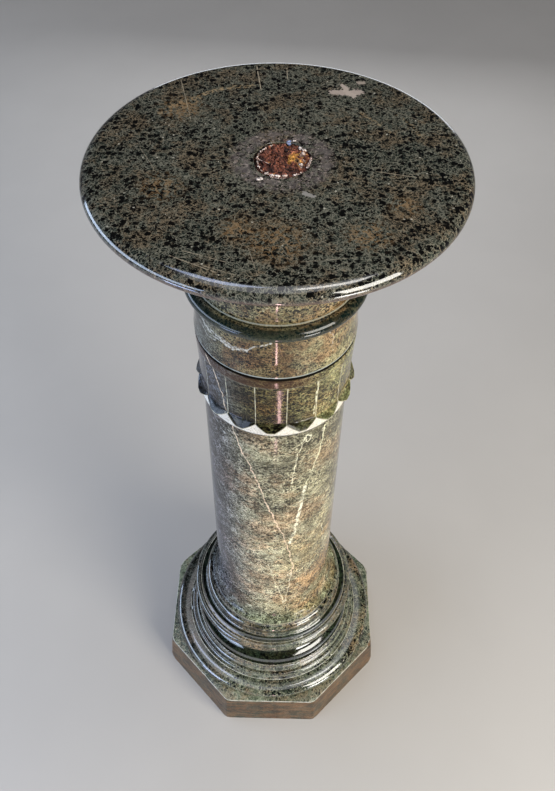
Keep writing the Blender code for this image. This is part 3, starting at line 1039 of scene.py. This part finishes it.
shaftLow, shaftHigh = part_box("shaft")
shaft = {
    "top": shaftHigh.z,
    "foot": shaftLow.z,
    "jointHeight": 0.004,
    "jointDepth": 0.006,
    "tongues": 16,
    "turn": radians(9.4),  # from the front to the nearest arris between two tongues
    "bandRadius": 0.087,
    "fluteTop": 0.7955,
    "flareStart": 0.764,
    "arrisRadius": 0.0855,
    "tipRadius": 0.0912,
    "tipHeight": 0.7248,
    "notchRadius": 0.0872,
    "notchHeight": 0.734,
    "tongueLip": 0.0015,
    "collarFoot": 0.7142,
    "collarFootRadius": 0.0861,
    "topRadius": 0.0832,
    "taper": 0.0111,
    "flareHeight": 0.034,
    "footRadius": 0.1029,
    "footFillet": 0.0056,
    "flatness": 0.45,  # 1 is a flat tongue, 0 one that follows the round of the shaft
    "columns": 14,  # to each side of a tongue's middle
    "flareSteps": 34,
    "inputs": {"Seed": 5.0, "Chip Depth": 0.0004, "Chip Size": 0.006},
    "look": {
        "stretch": (1.0, 1.0, 1.5), "ior": 1.33,
        "shade": (0.066, 0.058, 0.033), "light": (0.176, 0.16, 0.09), "driftScale": 13.0,
        "brown": (0.215, 0.122, 0.06), "brownScale": 10.0, "brownShare": 0.5,
        "mottleScale": 330.0, "mottleLow": 0.02, "mottleHigh": 2.2,
        "net": (0.9, 0.86, 0.58), "netBrown": (0.88, 0.69, 0.43), "netScale": 200.0, "netWidth": 0.15,
        "fibreWidth": 0.022, "netShare": 0.96, "netPatchScale": 70.0,
        "speck": (0.006, 0.006, 0.005), "speckScale": 230.0, "speckSize": 0.56,
        "speckSparse": 0.5, "speckDark": 0.88,
        "dot": (0.8, 0.76, 0.58), "dotScale": 260.0, "arris": (0.7, 0.66, 0.48),
        "warpScale": 150.0, "gloss": 0.07,
    },
    # these multiply: the plain shaft's, the left one a painted shade, then the collar's in the middle, on
    # the right, lighter as painted light, and on the left, bluer as painted shade, and the spoon's, a
    # painted dark reflection
    "warmTint": (1.06, 0.82, 0.55), "leftShadeTint": (0.62, 0.61, 0.74), "footTint": (0.66, 0.8, 0.74),
    "collarTints": ((0.44, 0.41, 0.33), (0.92, 0.95, 0.7)), "collarLeftShadeTint": (0.58, 0.64, 0.76),
    "spoonReflectionTint": (0.48, 0.6, 0.62),
    # and these paint, among them a painted shade at the top of the flutes and in the joints, and the bare
    # field made brighter as painted light
    "fluteTopShadeTint": (0.085, 0.038, 0.02), "knotTint": (0.92, 0.9, 0.68), "jointShadeTint": (0.01, 0.009, 0.007),
    "paleAndLitTints": ((0.58, 0.53, 0.42), (0.95, 0.91, 0.8)),
    "veins": (
        # (azimuth, height) along each vein, its half-width, colour and strength
        (
            ((-55, 0.806), (-47, 0.788), (-42, 0.765), (-33, 0.707), (-26, 0.672), (-17, 0.633), (-9, 0.592),
             (-1, 0.541), (9, 0.49), (13.5, 0.453), (20.6, 0.39), (17.7, 0.367)),
            0.0012, (0.95, 0.74, 0.52), 0.9,
        ),
        (((31, 0.795), (32, 0.763), (31, 0.74)), 0.0012, (0.88, 0.86, 0.6), 0.85),
        (
            ((44, 0.703), (41, 0.673), (37.5, 0.643), (32, 0.617), (27, 0.595)),
            0.0013, (0.92, 0.9, 0.62), 0.85,
        ),
        (((27, 0.595), (24, 0.542), (20, 0.497), (16, 0.46)), 0.0032, (0.97, 0.95, 0.72), 0.95),
        (((24, 0.697), (20, 0.673), (17, 0.638), (16, 0.61)), 0.0011, (0.92, 0.9, 0.66), 0.85),
        (((-4, 0.404), (2, 0.353), (10.5, 0.291), (12, 0.27)), 0.001, (0.9, 0.82, 0.56), 0.85),
        (((18, 0.366), (17, 0.33), (13, 0.275)), 0.001, (0.9, 0.84, 0.6), 0.8),
        (((24, 0.33), (30, 0.306), (36, 0.318)), 0.0008, (0.88, 0.82, 0.58), 0.6),
        (((-62, 0.712), (-50, 0.694), (-40, 0.684)), 0.001, (0.62, 0.62, 0.56), 0.6),
        (((-58, 0.56), (-44, 0.52), (-30, 0.497)), 0.0008, (0.62, 0.6, 0.52), 0.5),
        (((50, 0.47), (54, 0.44), (55, 0.41)), 0.0009, (0.88, 0.86, 0.7), 0.7),
    ),
    # (azimuth, height), width and height of each ring-shaped mark
    "knots": (
        ((27.5, 0.6955), 0.004, 0.0056), ((42.5, 0.696), 0.003, 0.0034), ((16.5, 0.366), 0.0032, 0.004),
    ),
}


def shaftMarks(place, colour):
    height = place.parts()[2]
    side, radius = sideOf(place)
    wallRadius, collarFoot, foot = shaft["topRadius"], shaft["collarFoot"], shaft["foot"]

    # lighter and yellower to the right and below; greyer and darker to the left, a painted shade
    warm = side.band(-0.57, 0.82) * height.band(0.62, 0.36)
    warm *= place.noise(17.0, 5.0, 0.75).band(0.42, 0.58)
    colour = colour.tinted(shaft["warmTint"], warm * 0.6)
    colour = colour.painted(side.band(-0.17, -0.88), shadedStone(colour, shaft["leftShadeTint"]))
    paler = height.band(0.7, 0.32, 0.76, 1.1) * height.band(foot + 0.012, foot + 0.048, 0.8, 1.0)
    cloudy = (place + (0.4, 0.4, 0.1)).noise(26.0, 5.0, 0.7).band(0.42, 0.56, 0.62, 1.12)
    colour = colour.tinted(paler.grey()).tinted(cloudy.grey())

    # the collar is darker than the plain shaft and brown in the middle, lighter and olive to the right as
    # painted light, bluer to the left as painted shade
    leftward = side.band(-0.25, -0.7)
    tint = side.band(0.0, 0.62).choice(*shaft["collarTints"])
    deeper = colour.tinted(colour, side.band(0.57, 0.0, 0.15, 0.9) * (1.0 - leftward))
    deeper = deeper.tinted(tint.painted(leftward, shaft["collarLeftShadeTint"]))
    colour = colour.painted(height.band(collarFoot - 0.001, collarFoot + 0.001), deeper)
    # a painted shadow along the top of the flutes, weaker to the right
    band = height.band(shaft["fluteTop"] - 0.0002, shaft["fluteTop"] + 0.001)
    band *= side.band(0.64, 0.26, 0.1, 0.75)
    colour = colour.painted(band, colour.painted(0.65, shaft["fluteTopShadeTint"]))

    # the foot runs to a darker green
    colour = colour.tinted(shaft["footTint"], height.band(foot + 0.03, foot + 0.008, 0.0, 0.75))

    # veins, and the knots some of them are tied in
    wall = unrolled(place.warped(60.0, 0.009, 3.0).warped(260.0, 0.004, 4.0), wallRadius)
    broken = place.noise(190.0, 4.0, 0.75).band(0.41, 0.52, 0.1, 1.0)
    for chain, width, tint, share in shaft["veins"]:
        line = wall.strokes(laidFlat(chain, wallRadius), width).band(0.05, 0.6)
        colour = colour.painted(line * broken * share, tint)
    for spot, wide, high in shaft["knots"]:
        away = (wall - (*laidFlat([spot], wallRadius)[0], 0.0)) * (1 / wide, 1 / high, 0.0)
        ring = away.length().between(0.62, 0.82, 0.98, 1.18)
        colour = colour.painted(ring * 0.85, shaft["knotTint"])

    # the field under the tongues was never polished: paler stone, painted brighter still as painted light;
    # each tongue ends in a darker, greener spoon, a painted dark reflection
    bare = place.attribute("bare").band(0.4, 0.8)
    paleAndLit = place.noise(700.0, 3.0, 0.7).band(0.38, 0.55).choice(*shaft["paleAndLitTints"])
    colour = colour.painted(bare * 0.95, paleAndLit)
    colour = colour.tinted(shaft["spoonReflectionTint"], place.attribute("spoon").band(0.2, 0.7) * 0.8)

    # painted shade: black in the joint over the collar and in the line under it
    bandTop = shaft["top"] - shaft["jointHeight"]
    joint = height.band(bandTop - 0.0009, bandTop - 0.0004)
    joint *= radius.band(shaft["bandRadius"] - 0.0005, shaft["bandRadius"] - 0.0011)
    line = height.between(*(collarFoot + shift for shift in (-0.0018, -0.0008, 0.0006, 0.0014)))
    jointShade = joint | line * 0.85
    return colour.painted(jointShade, shaft["jointShadeTint"]), bare | jointShade


# 0 in the middle of a tongue, 1 at the arrises beside it
def across(a):
    tongue = 2 * pi / shaft["tongues"]
    return 2 * abs(((a - shaft["turn"]) / tongue) % 1.0 - 0.5)


def flatSided(cornerRadius):
    half = pi / shaft["tongues"]
    fall = shaft["flatness"]
    return lambda a: cornerRadius * (1 - fall + fall * cos(half) / cos(half * across(a)))


# a measure at a tongue's edge, from its tip to the notch beside it
def edgeAt(a, tip, notch):
    rise = max(0.0, across(a) - 0.22) / 0.78
    return tip + (notch - tip) * (0.75 * rise + 0.25 * rise * rise)


def tipHeightAt(a):
    return edgeAt(a, shaft["tipHeight"], shaft["notchHeight"])


# the spoon at a tongue's end starts on an arc and is 1 at the tip
def spoonAt(a, share):
    start = 0.72 + 0.26 * across(a) ** 2
    return min(1.0, max(0.0, (share - start) / (1.0 - start)))


# a row of the collar's mesh: radius and height, each a number or a function of the angle, then wear
# and bareness
def row(radius, height, worn=0.0, bare=0.0):
    def always(value):
        return value if callable(value) else lambda a: value

    return always(radius), always(height), worn, bare


def flared(share, worn=0.0, bare=0.0, inward=0.0, down=0.0):
    upper = flatSided(shaft["arrisRadius"])

    def radiusAt(a):
        tip = edgeAt(a, shaft["tipRadius"], shaft["notchRadius"])
        return upper(a) + (tip - upper(a)) * spoonAt(a, share) ** 1.25 - inward

    def heightAt(a):
        return shaft["flareStart"] + (tipHeightAt(a) - shaft["flareStart"]) * share - down

    return row(radiusAt, heightAt, worn, bare)


def blendedRows(upper, lower, steps):
    def mixed(measure, share):
        return lambda a: upper[measure](a) * (1 - share) + lower[measure](a) * share

    rows = []
    for step in range(1, steps):
        share = step / steps
        worn = upper[2] * (1 - share) + lower[2] * share
        rows.append(row(mixed(0, share), mixed(1, share), worn, min(upper[3], lower[3])))
    return rows


def collarRows():
    top, bandTop = shaft["top"], shaft["top"] - shaft["jointHeight"]
    band, lip, fluteTop = shaft["bandRadius"], shaft["tongueLip"], shaft["fluteTop"]
    inner = band - shaft["jointDepth"]
    rows = [row(0.0, top), row(inner, top), row(inner, bandTop), row(band - 0.0007, bandTop, 0.2)]
    rows += [row(band - 0.0002, bandTop - 0.0002, 0.4), row(band, bandTop - 0.0007, 0.2)]
    rows += blendedRows(row(band, bandTop - 0.0007), row(band - 0.0002, fluteTop), 5)
    start = row(flatSided(band - 0.0004), fluteTop - 0.0008, 0.3)
    rows += [row(band - 0.0002, fluteTop, 0.5), start]
    rows += blendedRows(start, row(flatSided(shaft["arrisRadius"]), shaft["flareStart"]), 14)

    # down the flare to the tip, round its lip, and back under it to the bare field
    rows += [flared(step / shaft["flareSteps"]) for step in range(shaft["flareSteps"])]
    rows += [flared(1.0, 0.5, inward=0.0002, down=-0.0003), flared(1.0, 1.0)]
    rows += [flared(1.0, 0.5, inward=0.0001, down=lip * 0.5), flared(1.0, 0.0, 0.6, 0.0009, lip * 0.9)]
    under = row(shaft["notchRadius"] - 0.0006, flared(1.0, down=lip * 1.1)[1], 0.0, 1.0)
    ringRadius, ringFoot = shaft["collarFootRadius"], shaft["collarFoot"]
    field = row(ringRadius, ringFoot, 0.0, 1.0)
    rows += [under, *blendedRows(under, field, 8), field]
    return rows + [row(ringRadius - 0.0006, ringFoot - 0.0005, 0.3, 0.4)]


# the plain shaft widens down to the cove, and the cove runs out to the foot
def lowerRows():
    top, topRadius = shaft["collarFoot"] - 0.0014, shaft["topRadius"]
    foot, footRadius = shaft["foot"], shaft["footRadius"]
    coveFoot = foot + shaft["footFillet"]
    coveTop = coveFoot + shaft["flareHeight"]
    coveRadius = topRadius + (top - coveTop) * shaft["taper"]
    start = row(topRadius, top - 0.0012)
    cove = arc((footRadius, coveTop), (coveRadius - footRadius, coveFoot - coveTop), 0, 90, 20)
    rows = [row(topRadius + 0.0003, top), start, *blendedRows(start, row(coveRadius, coveTop), 70)]
    rows += [row(radius, height) for radius, height, worn in cove]
    rows += [row(footRadius, coveFoot - 0.0008, 0.6), row(footRadius, foot + 0.0006, 0.6)]
    return rows + [row(footRadius - 0.0006, foot, 0.6), row(0.05, foot), row(0.0, foot)]


def makeShaft():
    tongue = 2 * pi / shaft["tongues"]
    columns = shaft["columns"]
    shares = [sin(pi / 2 * column / columns) for column in range(-columns, columns + 1)]
    rows = collarRows() + lowerRows()
    verts = []
    floats = {"worn": [], "bare": [], "spoon": []}
    for radiusAt, heightAt, rowWorn, rowBare in rows:
        for share in shares:
            a = shaft["turn"] + tongue * (0.5 + 0.5 * share)
            inside = shaft["turn"] + tongue * (0.5 + 0.4999999 * share)
            radius, height, tip = radiusAt(inside), heightAt(inside), tipHeightAt(inside)
            verts.append((radius * sin(a), -radius * cos(a), height))
            onFlute = tip - 0.0002 < height < shaft["fluteTop"] - 0.0005
            arris = max(0.0, 1 - (1 - abs(share)) / 0.055) if onFlute else 0.0
            down = (shaft["flareStart"] - height) / (shaft["flareStart"] - tip)
            floats["worn"].append(max(rowWorn, arris))
            floats["bare"].append(rowBare)
            floats["spoon"].append(min(1.0, 4 * spoonAt(inside, down)) if onFlute else 0.0)
    width = len(shares)
    corners = [r * width + c for r in range(len(rows) - 1) for c in range(width - 1)]
    mesh = bpy.data.meshes.new("wedge")
    mesh.from_pydata(verts, [], [(i, i + width, i + width + 1, i + 1) for i in corners])
    for name, values in floats.items():
        setFloats(mesh, name, values)
    values = {**stoneValues("shaftStone", shaft, shaftMarks), "Count": shaft["tongues"]}
    piece = grown("shaft_carved", mesh, wedgeTree, values)
    trueUp(piece, 50)
    dress(piece, "shaft")


makeShaft()


baseLow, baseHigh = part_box("base_moulding")
base = {
    "top": baseHigh.z,
    "bed": baseLow.z,
    "radius": 0.1712,
    "beadCentre": 0.1012,
    "beadReach": 0.009,
    "ledgeRollCentre": (0.1085, 0.1983),
    "ledgeRollReach": 0.004,
    "ledgeFloor": (0.116, 0.1955),
    "torusCrease": (0.1212, 0.1951),
    "upperTorusCentre": (0.1245, 0.1895),
    "upperTorusReach": 0.0064,
    "torusArris": (0.1303, 0.182),
    "scotiaCentre": (0.129, 0.149),
    "scotiaReach": (0.025, 0.0325),
    "lipRadius": 0.1301,
    "lipTop": 0.1166,
    "lipHeight": 0.0034,
    "upperBeadCentre": (0.1315, 0.107),
    "upperBeadReach": 0.006,
    "lowerBeadCentre": (0.139, 0.098),
    "lowerBeadReach": 0.0044,
    "torusInnerArris": (0.1462, 0.0938),
    "lowerTorusReach": (0.0172, 0.0103),
    "leftShadeTint": (0.34, 0.34, 0.44), "hollowShadeTint": (0.09, 0.16, 0.11),  # these two multiply
    "crownHighlightTint": (0.5, 0.54, 0.45),
    # (radius, height), reach and strength of each paler crown, a painted highlight
    "crownHighlights": (
        ((0.108, 0.2045), 0.0042, 0.75), ((0.1118, 0.1995), 0.0026, 0.55),
        ((0.127, 0.195), 0.004, 0.45), ((0.1355, 0.111), 0.0034, 0.6), ((0.142, 0.0995), 0.003, 0.6),
        ((0.156, 0.096), 0.006, 0.35),
    ),
    "arris": 0.0007,
    "longest": 0.003,
    "inputs": {"Steps": 420, "Seed": 8.0, "Chip Depth": 0.0006},
    "look": {
        "ior": 1.86,
        "shade": (0.006, 0.011, 0.007), "light": (0.056, 0.068, 0.043), "driftScale": 17.0,
        "brown": (0.09, 0.058, 0.03), "brownScale": 14.0, "brownShare": 0.55,
        "mottleLow": 0.05, "mottleHigh": 2.45,
        "net": (0.47, 0.465, 0.31), "netBrown": (0.46, 0.33, 0.19), "netScale": 180.0,
        "fibreWidth": 0.02, "netShare": 0.66, "netPatchScale": 36.0,
        "speckScale": 185.0, "speckSize": 0.6, "speckSparse": 0.55, "speckDark": 0.97,
        "dot": (0.62, 0.56, 0.46), "dotScale": 200.0, "arris": (0.66, 0.64, 0.5), "arrisShare": 1.0,
    },
}


def baseMarks(place, colour):
    z = place.parts()[2]
    side, radius = sideOf(place)
    # darker and bluer to the left, a painted shade
    colour = colour.tinted(base["leftShadeTint"], side.band(-0.25, -0.8, 0.0, 0.9))
    # painted shade: the scotia and the floor behind the upper torus stay dark
    hollow = z.between(base["lipTop"] - 0.0008, base["lipTop"] - 0.0002, 0.179, 0.182)
    hollow *= radius.band(base["lipRadius"] - 0.0006, base["lipRadius"] - 0.0016)
    floor = base["ledgeFloor"][1]
    ledge = z.band(floor - 0.0012, floor - 0.0006) * radius.between(0.112, 0.113, 0.1198, 0.1206)
    colour = colour.tinted(base["hollowShadeTint"], (hollow | ledge) * 0.95)

    # the crowns of the rolls are paler, more so to the right: painted highlights, partly paler worn stone
    crownHighlights = 0.0
    for (crownRadius, crownHeight), reach, share in base["crownHighlights"]:
        away = joined(radius - crownRadius, z - crownHeight, 0.0).length() / reach
        crownHighlights |= away.band(1.0, 0.35) * share
    worn = place.noise(140.0, 4.0, 0.75).band(0.36, 0.6, 0.2, 1.0)
    shown = crownHighlights * worn * side.band(-0.75, -0.35, 0.15, 0.4)
    return colour.painted(shown, base["crownHighlightTint"]), 0.0


def makeBase():
    hollow = (-base["scotiaReach"][0], base["scotiaReach"][1])
    lowerReach = base["lowerTorusReach"]
    lowerCentre = (base["radius"] - lowerReach[0], base["bed"] + lowerReach[1])
    beadCentre = (base["beadCentre"], base["top"] - base["beadReach"])

    outline = [(0.06, base["top"], 0.0)] + circleArc(beadCentre, base["beadReach"], 90, -72, 20)
    outline += circleArc(base["ledgeRollCentre"], base["ledgeRollReach"], 130, -10, 12)
    outline += [(*base["ledgeFloor"], 0.0), (*base["torusCrease"], 1.0)]
    outline += circleArc(base["upperTorusCentre"], base["upperTorusReach"], 105, 0, 14)
    outline += [(*base["torusArris"], 1.0)]
    outline += arc(base["scotiaCentre"], hollow, 84, -88, 40)
    lipRadius, lipTop = base["lipRadius"], base["lipTop"]
    outline += [(lipRadius, lipTop, 1.0), (lipRadius, lipTop - base["lipHeight"], 0.6)]
    outline += circleArc(base["upperBeadCentre"], base["upperBeadReach"], 80, -60, 14)
    outline += circleArc(base["lowerBeadCentre"], base["lowerBeadReach"], 110, -40, 12)
    outline += [(*base["torusInnerArris"], 1.0)]
    outline += arc(lowerCentre, lowerReach, 90, -90, 30)
    outline += [(0.1, base["bed"], 0.0)]
    piece = turnedStone("base_turned", "baseStone", base, outline, baseMarks)
    trueUp(piece)
    dress(piece, "base_moulding")


makeBase()


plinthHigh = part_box("plinth")[1]
plinth = {
    "height": plinthHigh.z,
    "footFlats": 0.366,
    "topFlats": 0.3518,  # across the flats, like the foot's
    "arris": 0.0016,
    "longest": 0.0032,
    "sideTints": ((0.01, 0.005, 0.003), (0.185, 0.078, 0.028)),
    "inputs": {
        "Steps": 8 * 88, "Flats": 8, "Corner": 0.006, "Seed": 11.0, "Chip Depth": 0.001, "Chip Size": 0.012,
    },
    "chips": (
        # (azimuth, height), reach and depth of each scoop
        ((67.5, 0.073), 0.012, 0.005), ((22.5, 0.072), 0.006, 0.0016), ((-22.5, 0.073), 0.006, 0.0018),
        ((-67.5, 0.073), 0.008, 0.0026), ((-40.0, 0.073), 0.005, 0.001), ((12.0, 0.073), 0.004, 0.0008),
        ((112.5, 0.073), 0.009, 0.0028), ((157.5, 0.072), 0.007, 0.0022),
        ((-112.5, 0.073), 0.01, 0.003), ((-157.5, 0.072), 0.007, 0.002), ((22.5, 0.004), 0.007, 0.002),
        ((-22.5, 0.003), 0.006, 0.0016), ((-67.5, 0.004), 0.009, 0.0026),
        ((67.5, 0.004), 0.008, 0.0022),
    ),
    "look": {
        "stretch": (1.0, 1.0, 1.4), "ior": 1.36,
        "shade": (0.038, 0.054, 0.035), "light": (0.118, 0.142, 0.088), "driftScale": 12.0,
        "brown": (0.15, 0.1, 0.056), "brownScale": 13.0, "brownShare": 0.4,
        "mottleScale": 260.0, "mottleLow": 0.3, "mottleHigh": 2.0,
        "net": (0.48, 0.49, 0.35), "netBrown": (0.46, 0.36, 0.22), "netScale": 165.0,
        "fibreWidth": 0.02, "netShare": 0.75, "netPatchScale": 30.0,
        "speck": (0.005, 0.006, 0.005), "speckScale": 165.0, "speckSize": 0.44, "smallSpecks": 0.5,
        "speckSparse": 0.45, "speckDark": 0.8,
        "dot": (0.6, 0.58, 0.46), "dotScale": 180.0, "arris": (0.66, 0.62, 0.54), "arrisShare": 0.85,
        "warpScale": 120.0, "warpReach": 0.007, "gloss": 0.16, "bump": 0.2,
    },
}


# the sides are browner, with dark and rusty streaks that run level
def plinthMarks(place, colour):
    side = place.parts()[2].band(plinth["height"] - 0.001, plinth["height"] - 0.0025)
    streak = (place * (1.0, 1.0, 4.0)).noise(42.0, 8.0, 0.85).band(0.44, 0.56)
    brown = streak.choice(*plinth["sideTints"]).painted(0.16, colour)
    return colour.painted(side * 0.93, brown), side * 0.5


def makePlinth():
    height = plinth["height"]
    top, foot = plinth["topFlats"] / 2, plinth["footFlats"] / 2
    outline = [(0.02, height, 0.0), (top, height, 1.0), (foot, 0.0, 1.0), (0.02, 0.0, 0.0)]
    piece = turnedStone("plinth_block", "plinthStone", plinth, outline, plinthMarks)
    chips = []
    for (azimuth, level), reach, depth in plinth["chips"]:
        flatTurn = (azimuth + 22.5) % 45 - 22.5
        radius = (foot + (top - foot) * level / height) / cos(radians(flatTurn))
        spot = (radius * sin(radians(azimuth)), -radius * cos(radians(azimuth)), level)
        chips.append((spot, reach, depth))
    chipAway(piece.data, chips, (0.0, 0.0, height / 2))
    trueUp(piece)
    dress(piece, "plinth")


makePlinth()
print("stones done")


studio = {
    "floorSize": 12.0,
    "floorTint": (0.52, 0.49, 0.45),
    "skyHigh": (0.016, 0.017, 0.019),
    "skyLow": (0.1, 0.1, 0.11),
    "skyTop": (1.25, 1.26, 1.3),
    # name, place, aim, (width, height), power and tint
    "lights": (
        ("left_window", (-2.6, -0.55, 1.1), (0.0, 0.0, 0.6), (4.8, 0.95), 82.0, (0.62, 0.76, 1.0)),
        ("right_softbox", (1.32, -1.12, 1.6), (0.0, 0.0, 0.5), (1.05, 0.95), 33.0, (1.0, 0.96, 0.88)),
        ("overhead_left", (-0.52, 0.55, 3.1), (-0.1, 0.0, 0.1), (0.6, 0.8), 6.5, (0.6, 0.7, 1.0)),
        ("overhead_right", (0.6, 0.05, 3.1), (0.1, 0.0, 0.1), (0.5, 0.8), 8.0, (1.0, 0.97, 0.92)),
        ("back_fill", (0.2, 2.1, 0.85), (0.0, 0.0, 0.5), (1.8, 0.7), 8.0, (0.9, 0.94, 1.0)),
        ("low_left", (-1.16, -0.98, 0.26), (0.0, 0.0, 0.14), (0.46, 0.4), 4.8, (0.5, 0.62, 1.0)),
        ("low_right", (0.98, -1.2, 0.3), (0.0, 0.0, 0.14), (0.46, 0.44), 8.8, (1.0, 0.98, 0.94)),
        ("low_strip", (0.03, -0.75, 0.012), (0.03, -0.75, 1.0), (0.03, 0.36), 0.75, (1.0, 0.62, 0.6)),
    ),
    "lensLength": 34.17,
    "cameraPlace": (0.0073, -0.5639, 1.382),
    "cameraTurns": ((0.431, "Z"), (38.7, "X"), (0.912, "Z")),  # degrees, outermost first
}


def makeFloor():
    half = studio["floorSize"] / 2
    mesh = bpy.data.meshes.new("floor")
    corners = ((-half, -half, 0.0), (half, -half, 0.0), (half, half, 0.0), (-half, half, 0.0))
    mesh.from_pydata(corners, [], [(0, 1, 2, 3)])
    material, sheet, shader, place = newMaterial("paleFloor")
    cloud = place.noise(3.0).band(0.3, 0.7, 0.96, 1.0)
    sheet.feed(shader["Base Color"], cloud.grey().tinted(studio["floorTint"]))
    sheet.feed(shader["Roughness"], 0.7)
    mesh.materials.append(material)
    floor = placed("floor", mesh)


def makeSky():
    world = bpy.data.worlds.new("studio")
    world.use_nodes = True
    sheet = Sheet(world.node_tree)
    aim = sheet.add("ShaderNodeTexCoord", None, "Generated").parts()[2]
    tint = aim.band(0.02, 0.45).choice(studio["skyLow"], studio["skyHigh"])
    tint = tint.painted(aim.band(0.88, 0.925), studio["skyTop"])
    sheet.feed(world.node_tree.nodes["Background"].inputs["Color"], tint)
    bpy.context.scene.world = world


def makeLights():
    for name, place, aim, size, power, tint in studio["lights"]:
        light = bpy.data.lights.new(name, "AREA")
        light.shape = "RECTANGLE"
        light.size, light.size_y = size
        light.energy = power
        light.color = tint
        lamp = placed(name, light)
        lamp.location = place
        lamp.visible_camera = False
        lamp.rotation_euler = (Vector(aim) - Vector(place)).to_track_quat("-Z", "Y").to_euler()


def makeCamera():
    lens = bpy.data.cameras.new("camera")
    lens.lens = studio["lensLength"]
    lens.sensor_width = 36.0
    lens.sensor_fit = "AUTO"
    camera = placed("camera", lens)
    stand = Matrix.Translation(studio["cameraPlace"])
    for turn, axis in studio["cameraTurns"]:
        stand = stand @ Matrix.Rotation(radians(turn), 4, axis)
    camera.matrix_world = stand
    bpy.context.scene.camera = camera


makeFloor()
makeSky()
makeLights()
makeCamera()
bpy.context.scene.view_settings.view_transform = "Standard"
print("studio done")
